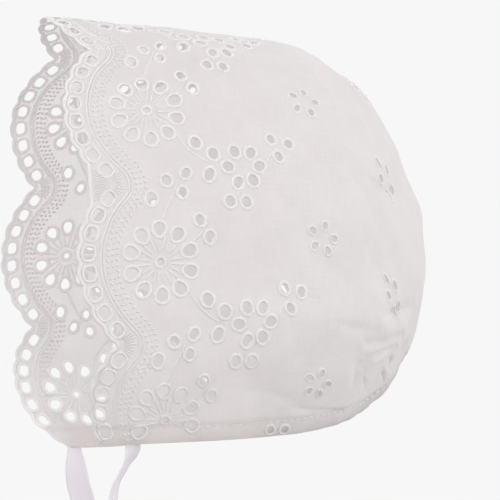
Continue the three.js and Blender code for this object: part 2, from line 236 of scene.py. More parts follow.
@dataclass(frozen=True)
class CottonFinish:
    """Plain woven white cotton that lets some light through, most of it near the face edge, and is darkened
    further back as painted shade.
    """

    name: str = "white_cotton"
    colour: Colour = (0.925, 0.893, 0.888)
    shade: Colour = (0.84, 0.806, 0.8)
    through: Colour = (0.972, 0.936, 0.93)
    translucency: float = 0.52
    back_translucency: float = 0.3
    # How far the colour is darkened far back from the face edge: painted shade of the bonnet's inside.
    painted_back_shade: float = 0.09
    deep_start: float = 52.0 * MM
    deep_full: float = 96.0 * MM
    yarn_pitch: float = 0.5 * MM
    slub_length: float = 8.0 * MM
    cloud_scale: float = 60.0
    cloud_detail: float = 3.0
    slub_tone: float = 1.4
    cloud_tone: float = 1.3
    weave_tone: float = 0.08
    middle_tone: float = 0.35
    slub_relief: float = 0.6
    weave_relief: float = 0.22
    weave_height: float = 0.12 * MM
    weave_strength: float = 0.6
    roughness: float = 0.92
    gloss: float = 0.2
    sheen: float = 0.2
    sheen_roughness: float = 0.5

    def material(self) -> bpy.types.Material:
        """Makes the cotton.

        Returns:
            The material.
        """
        bench = ShaderBench.of_material(self.name)
        across, along = bench.cloth_place(FLAT_MEASURE)
        turns = 2 * math.pi / self.yarn_pitch
        weave = (across * turns).sine() * (along * turns).sine()
        warp = bench.noise(across * (1 / self.yarn_pitch), along * (1 / self.slub_length))
        weft = bench.noise(across * (1 / self.slub_length), along * (1 / self.yarn_pitch))
        cloud = bench.noise(across * self.cloud_scale, along * self.cloud_scale, self.cloud_detail)
        slub = warp + weft
        height = weave * self.weave_relief + slub * self.slub_relief
        uneven = (slub - 1.0) * self.slub_tone + (cloud - 0.5) * self.cloud_tone
        tone = uneven + weave * self.weave_tone + self.middle_tone
        normal = bench.bump(height, self.weave_height, self.weave_strength)
        # Share of the way into the cloth far back from the face edge, where less light gets through and the
        # colour is darkened as painted shade.
        thick = bench.stepped(along, self.deep_start, self.deep_full, (0.0, 1.0))
        through = thick * (self.back_translucency - self.translucency) + self.translucency
        woven = bench.mixed(tone, self.colour, self.shade)
        cloth = bench.node("ShaderNodeBsdfPrincipled", None, {
            # Colour darkened towards black far back from the face edge: painted shade.
            "Base Color": bench.mixed(thick * self.painted_back_shade, woven, (0.0, 0.0, 0.0)),
            "Roughness": self.roughness,
            "Specular IOR Level": self.gloss,
            "Sheen Weight": self.sheen,
            "Sheen Roughness": self.sheen_roughness,
            "Normal": normal,
        })
        glow = bench.node("ShaderNodeBsdfTranslucent", None,
                          {"Color": (*self.through, 1.0), "Normal": normal})
        bench.finish(bench.node("ShaderNodeMixShader", None, {0: through, 1: cloth, 2: glow}))
        return bench.owner


@dataclass(frozen=True)
class ThreadFinish:
    """White embroidery thread, laid side by side, with painted shade in the grooves between stitches and
    painted light on its side under the cloth.
    """

    name: str = "embroidery_thread"
    colour: Colour = (0.88, 0.855, 0.85)
    # Darker colour in the grooves between stitches: painted shade.
    groove: Colour = (0.76, 0.733, 0.728)
    # Paler colour of the thread's side under the cloth: painted light.
    underside_painted_light: Colour = (0.96, 0.934, 0.928)
    reverse_start: float = -0.6 * MM
    reverse_end: float = -0.1 * MM
    stitch_pitch: float = 0.6 * MM
    stitch_stray: float = 0.3 * MM
    stitch_height: float = 0.14 * MM
    stitch_strength: float = 0.6
    strand_scales: tuple[float, float] = (1500.0, 300.0)
    strand_tone: float = 0.4
    groove_shade_tone: float = 0.6
    groove_power: float = 2.0
    roughness: float = 0.6
    groove_roughness: float = 0.25
    gloss: float = 0.3
    sheen: float = 0.2
    sheen_roughness: float = 0.4

    def material(self) -> bpy.types.Material:
        """Makes the thread.

        Returns:
            The material.
        """
        bench = ShaderBench.of_material(self.name)
        rise, along = bench.cloth_place(FLAT_MEASURE)
        loose = bench.noise(rise * self.strand_scales[0], along * self.strand_scales[1])
        ridge = abs(((along + loose * self.stitch_stray) * (math.pi / self.stitch_pitch)).sine())
        groove = (1.0 - ridge) ** self.groove_power
        # Share of each section that lies under the cloth, where the paler painted light is used.
        outer = bench.stepped(rise, self.reverse_start, self.reverse_end, (0.0, 1.0))
        # Grooves are darkened as painted shade; loose strands vary the tone at random.
        tone = groove * self.groove_shade_tone + (loose - 0.5) * self.strand_tone
        laid = bench.mixed(tone, self.colour, self.groove)
        bench.finish(bench.node("ShaderNodeBsdfPrincipled", None, {
            "Base Color": bench.mixed(outer, self.underside_painted_light, laid),
            "Roughness": self.roughness + groove * self.groove_roughness,
            "Specular IOR Level": self.gloss,
            "Sheen Weight": self.sheen,
            "Sheen Roughness": self.sheen_roughness,
            "Normal": bench.bump(ridge, self.stitch_height, self.stitch_strength),
        }))
        return bench.owner


@dataclass(frozen=True)
class RibbonFinish:
    """Soft satin ribbon with fine ribs across it and paler woven edges."""

    name: str = "satin_ribbon"
    colour: Colour = (0.9, 0.845, 0.905)
    edge: Colour = (0.96, 0.945, 0.965)
    rib_pitch: float = 0.5 * MM
    rib_height: float = 0.05 * MM
    rib_strength: float = 0.5
    rib_tone: float = 0.1
    half_width: float = 4.75 * MM
    edge_sharpness: float = 9.0
    edge_tone: float = 0.9
    streak_scales: tuple[float, float] = (1500.0, 60.0)
    streak_tone: float = 0.35
    streak_relief: float = 0.6
    roughness: float = 0.42
    streak_roughness: float = 0.16
    gloss: float = 0.4
    sheen: float = 0.3
    sheen_roughness: float = 0.35

    def material(self) -> bpy.types.Material:
        """Makes the ribbon's satin.

        Returns:
            The material.
        """
        bench = ShaderBench.of_material(self.name)
        across, along = bench.cloth_place(FLAT_MEASURE)
        rib = (along * (2 * math.pi / self.rib_pitch)).sine() * 0.5 + 0.5
        streak = bench.noise(across * self.streak_scales[0], along * self.streak_scales[1])
        selvedge = abs(across * (1 / self.half_width)) ** self.edge_sharpness
        tone = selvedge * self.edge_tone + (streak - 0.5) * self.streak_tone + rib * self.rib_tone
        relief = rib + streak * self.streak_relief
        bench.finish(bench.node("ShaderNodeBsdfPrincipled", None, {
            "Base Color": bench.mixed(tone, self.colour, self.edge),
            "Roughness": self.roughness + streak * self.streak_roughness,
            "Specular IOR Level": self.gloss,
            "Sheen Weight": self.sheen,
            "Sheen Roughness": self.sheen_roughness,
            "Normal": bench.bump(relief, self.rib_height, self.rib_strength),
        }))
        return bench.owner


@dataclass(frozen=True)
class PaperFinish:
    """Matt pale paper of the studio floor, which glows where it runs into the distance: painted light as
    bright as the sky, dimmer on the camera's side.
    """

    name: str = "studio_paper"
    colour: Colour = (0.52, 0.52, 0.52)
    roughness: float = 0.95
    # Brightness of the far paper's glow: painted light.
    far_glow: float = 0.93
    near_reach: float = 0.5
    far_reach: float = 1.5

    def material(self, front: Vector, front_share: float) -> bpy.types.Material:
        """Makes the paper.

        Args:
            front: Level direction to the dimmer side of the sky.
            front_share: Brightness there, as a share of the other side's.

        Returns:
            The material.
        """
        bench = ShaderBench.of_material(self.name)
        place = bench.node("ShaderNodeTexCoord", None, None, "Object")
        distance = bench.node("ShaderNodeVectorMath", {"operation": "LENGTH"}, {0: place}, "Value")
        far = bench.stepped(distance, self.near_reach, self.far_reach, (0.0, 1.0))
        dark, lit = (0.0, 0.0, 0.0), (self.far_glow,) * 3
        # Glow of the far paper, painted light, dimmer on the camera's side.
        glow = bench.sided(bench.facing(place, front) * distance**-1.0, front_share)
        bench.finish(bench.node("ShaderNodeBsdfPrincipled", None, {
            "Base Color": bench.mixed(far, self.colour, dark),
            "Roughness": self.roughness,
            "Specular IOR Level": 0.0,
            "Emission Color": bench.mixed(far * glow, dark, lit),
            "Emission Strength": 1.0,
        }))
        return bench.owner


# Form of the draped cloth


class Section(NamedTuple):
    """Upright section of the bonnet, in millimetres."""

    back: float
    crown: float
    side: float
    side_height: float
    bottom: float
    peak: float
    lean: float
    sweep: float


SECTIONS = (
    Section(-88.5, 4.9, 61.6, -116.7, -180.5, 1.105, 2.55, 8.5),
    Section(-62, 4.7, 64.5, -115.5, -180.5, 1.07, 2.2, 6.5),
    Section(-35, 3.9, 66, -112.5, -178, 1.03, 1.2, 3.2),
    Section(-6, 1.6, 65, -105.5, -171.5, 1, 0.3, 0.6),
    Section(22, -3.6, 59.5, -98.5, -162, 0.97, 0, 0),
    Section(45, -21.1, 48, -92.5, -150.5, 0.96, 0, -0.8),
    Section(60, -44.1, 33, -89.5, -138.5, 0.96, 0, -2.3),
    Section(68.5, -65.4, 16.5, -88.5, -115, 0.98, 0, -3.6),
    Section(71, -88, 0, -88, -88, 1, 0, -3.6),
)


class Fold(NamedTuple):
    """Ridge of the cloth, or a dent below 0, between two places on both sides."""

    around: float
    along: float
    around_end: float
    along_end: float
    depth: float
    width: float


FOLDS = (
    Fold(0.7, 0.5, 0.64, 0.72, 0.8, 6),
    Fold(0.22, 0.74, 0.36, 0.88, -0.9, 4),
    Fold(0.7, 0.84, 0.56, 0.92, -0.9, 4),
    Fold(0.8, 0.55, 0.72, 0.72, -1, 4.5),
    Fold(0.83, 0.6, 0.76, 0.78, 0.4, 4),
    Fold(0.88, 0.65, 0.8, 0.82, -0.4, 4),
    Fold(0.92, 0.7, 0.85, 0.86, 1.3, 4),
    Fold(0.97, 0.74, 0.92, 0.88, -1.2, 4),
)


class Crease(NamedTuple):
    """Curved crease of the cloth through three places on both sides, each around and along."""

    start: tuple[float, float]
    middle: tuple[float, float]
    end: tuple[float, float]
    depth: float
    width: float


CREASES = (
    Crease((0.659, 0.518), (0.666, 0.57), (0.667, 0.635), -2.6, 1.3),
    Crease((0.688, 0.525), (0.689, 0.568), (0.695, 0.62), -2.4, 1.25),
    Crease((0.722, 0.525), (0.704, 0.542), (0.703, 0.598), 1.3, 1.3),
    Crease((0.742, 0.545), (0.72, 0.563), (0.711, 0.602), -2.4, 1.2),
    Crease((0.704, 0.498), (0.697, 0.513), (0.697, 0.536), -2.8, 2.6),
    Crease((0.708, 0.503), (0.722, 0.508), (0.74, 0.505), -1.2, 2.2),
    Crease((0.716, 0.61), (0.735, 0.625), (0.757, 0.63), -1.7, 1.2),
    Crease((0.752, 0.602), (0.78, 0.625), (0.808, 0.637), -1.4, 1.1),
    Crease((0.735, 0.595), (0.755, 0.612), (0.785, 0.65), 1, 1.6),
    Crease((0.719, 0.53), (0.738, 0.54), (0.768, 0.553), -1.6, 1.2),
    Crease((0.538, 0.198), (0.585, 0.38), (0.63, 0.568), 2.2, 9),
    Crease((0.6, 0.43), (0.622, 0.485), (0.643, 0.55), -1.3, 3),
    Crease((0.675, 0.489), (0.664, 0.503), (0.654, 0.524), -1.1, 2.6),
    Crease((0.613, 0.55), (0.612, 0.605), (0.603, 0.7), -1.7, 1.2),
    Crease((0.68, 0.28), (0.699, 0.335), (0.738, 0.4), -1.2, 4.5),
    Crease((0.745, 0.392), (0.77, 0.44), (0.807, 0.51), -1.8, 1.2),
    Crease((0.363, 0.53), (0.366, 0.58), (0.35, 0.67), -1.5, 1.3),
    Crease((0.409, 0.41), (0.384, 0.465), (0.341, 0.555), -0.9, 3.5),
    Crease((0.66, 0.66), (0.655, 0.7), (0.645, 0.74), -1, 2.2),
    Crease((0.7, 0.64), (0.735, 0.7), (0.76, 0.75), -1.1, 2.2),
    Crease((0.79, 0.68), (0.77, 0.715), (0.765, 0.76), -0.8, 2.2),
    Crease((0.86, 0.69), (0.84, 0.735), (0.81, 0.785), -0.6, 2.2),
    Crease((0.94, 0.7), (0.92, 0.745), (0.9, 0.8), -0.6, 2.2),
)


class EaseWave(NamedTuple):
    """Soft waves of slack cloth: their length, depth and number."""

    length: float
    depth: float
    count: int


EASE_WAVES = (EaseWave(52.0, 0.3, 7), EaseWave(24.0, 0.12, 9), EaseWave(11.0, 0.04, 9))

NECK_LINE = (
    (-100, -154), (-60, -154), (-30, -154), (0, -153.3), (20, -151.7),
    (38, -148.7), (50, -143.4), (60, -134.8), (76, -119),
)


def ease(value: Array, start: float, full: float) -> Array:
    """Smooth step of values, from 0 at the start to 1 where it is full."""
    share = np.clip((value - start) / (full - start), 0, 1)
    return share * share * (3 - 2 * share)


def cubic_run(points: Array, places: Array) -> Array:
    """Smooth curve through evenly spaced points, with one more at each end to steer it.

    Args:
        points: The points, the first and the last only steering.
        places: Places on the curve, 0 at the second point.

    Returns:
        The points of the curve.
    """
    start = np.clip(np.floor(places).astype(int), 0, len(points) - 4)
    share = (places - start)[:, None]
    before, first, second, after = (points[start + step] for step in range(4))
    slope, slope_end = (second - before) / 2, (after - first) / 2
    square, cube = share**2, share**3
    return ((2 * cube - 3 * square + 1) * first + (cube - 2 * square + share) * slope
            + (3 * square - 2 * cube) * second + (cube - square) * slope_end)


def steered(points: Array) -> Array:
    """Points with one more at each end, straight on from the last two."""
    return np.vstack([2 * points[0] - points[1], points, 2 * points[-1] - points[-2]])


def unit(vectors: Array) -> Array:
    """Vectors made one long, with the axis last."""
    return vectors / np.maximum(np.linalg.norm(vectors, axis=-1, keepdims=True), TINY)


def run_of(points: Array) -> Array:
    """Distance of each point of a line from its start, along the line."""
    return np.concatenate([[0], np.cumsum(np.linalg.norm(np.diff(points, axis=0), axis=1))])


def read_line(line: Array, run: Array, wanted: Array) -> Array:
    """Pairs of a line at wanted distances along it, from the distance of each of its points."""
    return np.stack([np.interp(wanted, run, line[:, axis]) for axis in (0, 1)], axis=1)


@dataclass
class BonnetForm:
    """Draped surface of the bonnet, held as a fine net of points that anything may be laid on."""

    rows: int = 401
    columns: int = 641
    arc_steps: int = 28
    least_half: float = 1e-6
    sweep_reach: float = 40.0
    run_place: float = 0.4
    fold_level: float = 0.3
    fold_fade: float = 0.3
    corner_droop: float = 10.2
    droop_start: float = 15.0
    droop_full: float = -45.0
    neck_steps: int = 160
    ripple_pitch: float = 6.4
    ripple_height: float = 0.42
    ripple_reach: float = 11.0
    ripple_lift: float = 4.0
    ripple_start: float = 5.0
    ripple_full: float = 48.0
    ripple_wander: float = 1.6
    wander_length: float = 9.0
    ripple_slant: float = 0.12
    crease_steps: int = 60
    crease_edge: float = 1.3
    crease_span: float = 3.5
    crease_tip: float = 0.08
    crease_blunt: float = 0.7
    hem_height: float = 5.7
    hem_puff: float = 0.4
    hem_rounding: float = 0.7
    hem_dip: float = 0.45
    hem_dip_width: float = 1.1
    ease_seed: int = 7
    half: Array = field(init=False)
    run: Array = field(init=False)
    net: Array = field(init=False)
    normals: Array = field(init=False)

    def __post_init__(self) -> None:
        """Works out the net of points and normals."""
        self.alongs = np.linspace(0, 1, self.rows)
        self.arounds = np.linspace(-1, 1, self.columns)
        smooth = self._smooth_net()
        column = int(np.argmin(np.abs(self.arounds - self.run_place)))
        self.run = run_of(smooth[:, column])
        self.face_half = self.half[0]
        self.back_length = self.run[-1]
        square = self._normals_of(smooth)
        self.net = smooth + square * self._relief(smooth)[..., None]
        self.normals = self._normals_of(self.net)

    def _smooth_net(self) -> Array:
        """Net of the cloth without its folds; also measures half of each section.

        Returns:
            Points by row, column and axis.
        """
        table = np.array(SECTIONS, float)
        before = 2 * table[0] - table[1]
        turned = SECTIONS[-2]
        after = np.array(turned._replace(side=-turned.side, crown=turned.bottom, bottom=turned.crown))
        run = np.vstack([before, table, after])
        sections = cubic_run(run, self.alongs * (len(table) - 1))
        angles = np.linspace(0, math.pi / 2, self.arc_steps + 1)
        self.half = np.zeros(self.rows)
        net = np.zeros((self.rows, self.columns, 3))
        for row, numbers in enumerate(sections):
            section = Section(*numbers)
            rise = section.crown - section.side_height
            fall = section.side_height - section.bottom
            upper = np.maximum(0, np.cos(angles)) ** section.peak
            across = np.concatenate([section.side * np.sin(angles) ** section.peak,
                                     section.side * np.cos(angles[1:])])
            height = np.concatenate([section.side_height + rise * upper,
                                     section.side_height - fall * np.sin(angles[1:])])
            distance = run_of(np.stack([across, height], axis=1))
            self.half[row] = distance[-1]
            wanted = np.abs(self.arounds) * distance[-1]
            x = np.interp(wanted, distance, across) * np.sign(self.arounds)
            z = np.interp(wanted, distance, height)
            below = np.maximum(0, section.side_height - z) / self.sweep_reach
            forward = section.lean * np.abs(x) / max(section.side, 1)
            net[row] = np.stack([x, section.back - forward + section.sweep * below**2, z], axis=1)
        return net

    @staticmethod
    def _normals_of(net: Array) -> Array:
        """Outward normals of a net.

        Args:
            net: Points by row, column and axis.

        Returns:
            Normals in the same order.
        """
        normals = np.cross(np.gradient(net, axis=1), np.gradient(net, axis=0))
        normals[-1] = (0, 1, 0)
        return unit(normals)

    def _relief(self, net: Array) -> Array:
        """Height of folds, gathers and soft unevenness over the smooth net.

        Args:
            net: Points of the smooth net.

        Returns:
            Heights by row and column.
        """
        flat = np.stack(np.broadcast_arrays(np.abs(self.arounds)[None, :] * self.half[:, None],
                                            (self.alongs * self.back_length)[:, None]), axis=2)
        height = np.zeros(net.shape[:2])
        for fold in FOLDS:
            reach = np.stack([self.half, np.full(self.rows, self.back_length)], axis=1)[:, None, :]
            start = np.array([fold.around, fold.along]) * reach
            line = (np.array([fold.around_end, fold.along_end]) - (fold.around, fold.along)) * reach
            here = flat - start
            share = (here * line).sum(axis=2) / (line**2).sum(axis=2)
            aside = (here[..., 0] * line[..., 1] - here[..., 1] * line[..., 0])
            aside = aside / np.linalg.norm(line, axis=2) / fold.width
            past = np.maximum(0, np.abs(share - 0.5) - self.fold_level) / self.fold_fade
            height += fold.depth * np.exp(-(aside**2) - past**2)
        height = height + self._creases(flat) + self._ease_waves(net)
        return height + self._ripples(net) + self._hem_swell(net)

    def _creases(self, flat: Array) -> Array:
        """Depth of the curved creases.

        Args:
            flat: Places of the net: round from the top on either side, and back from the face edge.

        Returns:
            Heights by row and column.
        """
        height = np.zeros(flat.shape[:2])
        shares = np.linspace(0, 1, self.crease_steps)
        reach = np.array([self.face_half, self.back_length])
        fade = np.sin(math.pi * (self.crease_tip + (1 - 2 * self.crease_tip) * shares)) ** self.crease_blunt
        for crease in CREASES:
            course = cubic_run(steered(np.array(crease[:3])), shares * 2) * reach
            half = np.interp(course[:, 1] / self.back_length, self.alongs, self.half)
            course[:, 0] *= half / self.face_half
            span = np.ptp(course[:, 1]) / 2 + self.crease_span * crease.width
            rows = np.flatnonzero(np.abs(flat[:, 0, 1] - course[:, 1].mean()) < span)
            near = flat[rows]
            best = np.zeros(near.shape[:2])
            for point, share in zip(course, fade):
                apart = ((near - point) ** 2).sum(axis=2) / crease.width**2
                best = np.maximum(best, share * np.exp(-(apart ** (self.crease_edge / 2))))
            height[rows] += crease.depth * best
        return height

    def _ease_waves(self, net: Array) -> Array:
        """Slight unevenness of soft cloth.

        Args:
            net: Points of the smooth net.

        Returns:
            Heights by row and column.
        """
        draw = np.random.default_rng(self.ease_seed)
        height = np.zeros(net.shape[:2])
        for length, depth, count in EASE_WAVES:
            for _ in range(count):
                direction = unit(draw.normal(size=3))
                phase = draw.uniform(0, 2 * math.pi)
                height += depth * np.sin(net @ direction * (2 * math.pi / length) + phase)
        return height

    def _ripples(self, net: Array) -> Array:
        """Gathers that rise from the hem at the nape and fade upwards and towards the face.

        Args:
            net: Points of the smooth net.

        Returns:
            Heights by row and column.
        """
        above = np.abs(self._over_neck(net, self.ripple_lift))
        fade = np.exp(-((above / self.ripple_reach) ** 2))
        fade = fade * ease(net[..., 1], self.ripple_start, self.ripple_full)
        wander = self.ripple_wander * np.sin(net[..., 0] / self.wander_length)
        wander = wander + self.ripple_slant * net[..., 2]
        wave = np.sin((net[..., 0] + wander) * (2 * math.pi / self.ripple_pitch))
        return self.ripple_height * wave * fade

    def _hem_swell(self, net: Array) -> Array:
        """Swell of the doubled cloth at the neck, with a dip along its stitches.

        Args:
            net: Points of the smooth net.

        Returns:
            Heights by row and column.
        """
        over = self._over_neck(net, 0.0)
        share = np.clip(over / self.hem_height, 0, 1)
        dip = np.exp(-(((over - self.hem_height) / self.hem_dip_width) ** 2))
        return self.hem_puff * np.sin(math.pi * share**self.hem_rounding) - self.hem_dip * dip

    def neck_profile(self, lift: float) -> Array:
        """Neck edge in side view, raised square to itself.

        Args:
            lift: How far it is raised.

        Returns:
            Distances back and heights, from front to back.
        """
        points = np.array(NECK_LINE, float)
        held = np.vstack([points[:1], points, points[-1:]])
        curve = cubic_run(held, np.linspace(0, len(points) - 1, self.neck_steps + 1))
        slope = unit(np.gradient(curve, axis=0))
        return curve + lift * np.stack([-slope[:, 1], slope[:, 0]], axis=1)

    def _over_neck(self, points: Array, lift: float) -> Array:
        """How far points lie above the neck edge.

        Args:
            points: Points, with the axis last.
            lift: How far the edge is raised.

        Returns:
            Heights over the edge.
        """
        profile = self.neck_profile(lift)
        edge = np.interp(points[..., 1], profile[:, 0], profile[:, 1])
        droop = self.corner_droop * ease(points[..., 1], self.droop_start, self.droop_full)
        return points[..., 2] - edge + np.where(points[..., 0] < 0, droop, 0)

    def _blend(self, values: Array, along: Array, around: Array) -> Array:
        """Reads values of the net between its points.

        Args:
            values: Values by row and column.
            along: Places from the face edge to the back.
            around: Places round the bonnet.

        Returns:
            The values there.
        """
        row = np.clip(along, 0, 1) * (self.rows - 1)
        column = (np.clip(around, -1, 1) + 1) / 2 * (self.columns - 1)
        low_row = np.minimum(row.astype(int), self.rows - 2)
        low_column = np.minimum(column.astype(int), self.columns - 2)
        up, right = (row - low_row)[..., None], (column - low_column)[..., None]
        near = values[low_row, low_column] * (1 - right) + values[low_row, low_column + 1] * right
        far = values[low_row + 1, low_column] * (1 - right) + values[low_row + 1, low_column + 1] * right
        return near * (1 - up) + far * up

    def place(self, along: Array, around: Array, lift: Array | float = 0.0) -> Array:
        """Points on or over the cloth.

        Args:
            along: Places from the face edge to the back.
            around: Places round the bonnet.
            lift: Heights over the cloth.

        Returns:
            Points in millimetres.
        """
        along, around, lift = np.broadcast_arrays(along, around, lift)
        square = self._blend(self.normals, along, around)
        return self._blend(self.net, along, around) + square * lift[..., None]

    def over_neck(self, along: Array, around: Array, lift: float) -> Array:
        """How far places on the cloth lie above the neck edge, raised by a lift."""
        return self._over_neck(self._blend(self.net, along, around), lift)

    def flat_of(self, along: Array, around: Array | float) -> Array:
        """Flat millimetres of places on the cloth.

        Args:
            along: Places from the face edge to the back.
            around: Places round the bonnet.

        Returns:
            Distances round from the top, and back from the face edge.
        """
        along, around = np.broadcast_arrays(along, around)
        return np.stack([around * np.interp(along, self.alongs, self.half),
                         np.interp(along, self.alongs, self.run)], axis=-1)

    def shares_of(self, flat: Array) -> tuple[Array, Array]:
        """Shares along and around of flat millimetres."""
        along = np.interp(flat[..., 1], self.run, self.alongs)
        return along, flat[..., 0] / np.maximum(np.interp(along, self.alongs, self.half), self.least_half)

    def flat_of_pattern(self, round_edge: Array | float, back: Array | float) -> Array:
        """Flat millimetres of pattern millimetres, round the face edge and back from it."""
        along = np.asarray(back, float) / self.back_length
        return self.flat_of(along, np.asarray(round_edge, float) / self.face_half)

    def lay(self, flat: Array, lift: Array | float = 0.0) -> Array:
        """Points at flat millimetres, on the cloth or at a height over it."""
        return self.place(*self.shares_of(flat), lift)


# Pattern of the embroidery


@dataclass(frozen=True)
class Eyelet:
    """Hole in the cloth with a satin-stitched rim, in flat millimetres."""

    round: float
    back: float
    length: float
    width: float
    turn: float
    rim: float = 1.5
    squareness: float = 2.0
    taper: float = 0.0

    def outline(self, grow: Array | float, corners: int) -> Array:
        """Outline of the hole, or one that runs outside it.

        Args:
            grow: How far outside the hole it runs.
            corners: Number of points.

        Returns:
            Points in flat millimetres.
        """
        angle = np.linspace(0, 2 * math.pi, corners, endpoint=False)
        power = 2 / self.squareness
        x = (self.length / 2 + grow) * np.sign(np.cos(angle)) * np.abs(np.cos(angle)) ** power
        y = (self.width / 2 * (1 + self.taper * np.cos(angle)) + grow) * np.sign(np.sin(angle))
        y = y * np.abs(np.sin(angle)) ** power
        cos, sin = math.cos(self.turn), math.sin(self.turn)
        return np.stack([self.round + x * cos - y * sin, self.back + x * sin + y * cos], axis=-1)

    def holds(self, points: Array, grow: float) -> Array:
        """Which points lie inside the outline.

        Args:
            points: Points in flat millimetres.
            grow: How far outside the hole the outline runs.

        Returns:
            True for each point inside.
        """
        cos, sin = math.cos(self.turn), math.sin(self.turn)
        x, y = points[:, 0] - self.round, points[:, 1] - self.back
        ahead = (x * cos + y * sin) / (self.length / 2 + grow)
        swell = 1 + self.taper * np.clip(ahead, -1, 1)
        aside = np.abs(y * cos - x * sin) / (self.width / 2 * swell + grow)
        return np.abs(ahead) ** self.squareness + aside**self.squareness < 1


class Leaf(NamedTuple):
    """Eyelet of the repeat, listed one by one: pattern millimetres from the repeat's line, size and degrees.
    """

    round: float
    back: float
    length: float
    width: float
    turn: float


REPEAT_LEAVES = (
    Leaf(14.3, 44.5, 4.4, 3.6, 20), Leaf(19.1, 49.9, 4.4, 3.6, 10), Leaf(27, 47.8, 4.6, 3.4, -25),
    Leaf(18.7, 56.9, 4.2, 3.4, 15), Leaf(19.5, 62, 4.2, 3.4, -20), Leaf(24.3, 54.3, 4, 3.4, 70),
    Leaf(24.8, 64.4, 4, 3.4, -70), Leaf(30.5, 57.2, 4.2, 3.4, -20), Leaf(30, 62, 4.2, 3.4, 20),
    Leaf(37.5, 53.8, 4, 3.4, 10), Leaf(38.3, 59, 4, 3.4, -5),
    Leaf(13.8, 69.6, 3.5, 3, 10), Leaf(16, 75.4, 3.5, 3, -20), Leaf(21.3, 71.2, 3.5, 3, 30),
    Leaf(28.3, 33.5, 3.6, 3, 30), Leaf(26.1, 40, 3.6, 3, -30), Leaf(33.1, 38.5, 3.5, 2.8, 0),
    Leaf(34.8, 28, 4.4, 3.6, 0),
    Leaf(-14.5, 43.5, 3.8, 3, 20), Leaf(-8, 46.5, 4, 3.2, 0),
)

REPEAT_STEMS = (
    ((9, 38), (15.5, 41), (21, 46), (24, 52)),
    ((23.5, 67), (20.5, 68.5), (17.2, 71.5)),
    ((29.5, 59.5), (33.5, 57.2), (36, 56.3)),
    ((44.5, 30), (39, 32.5), (32, 36), (29, 37)),
    ((-6, 40), (-8.5, 42.5), (-10.8, 44.8)),
)

TIP_LINE = (
    (-250, 9.5), (-173, 6.4), (-115, 4), (-57, 3), (1, 3.1), (59, 1.4), (117, 2.1), (175, 4), (250, 7),
)


class Bridge(NamedTuple):
    """Place where the edge runs on without a notch: round the face edge, back from it, and half its width."""

    place: float
    back: float
    half: float


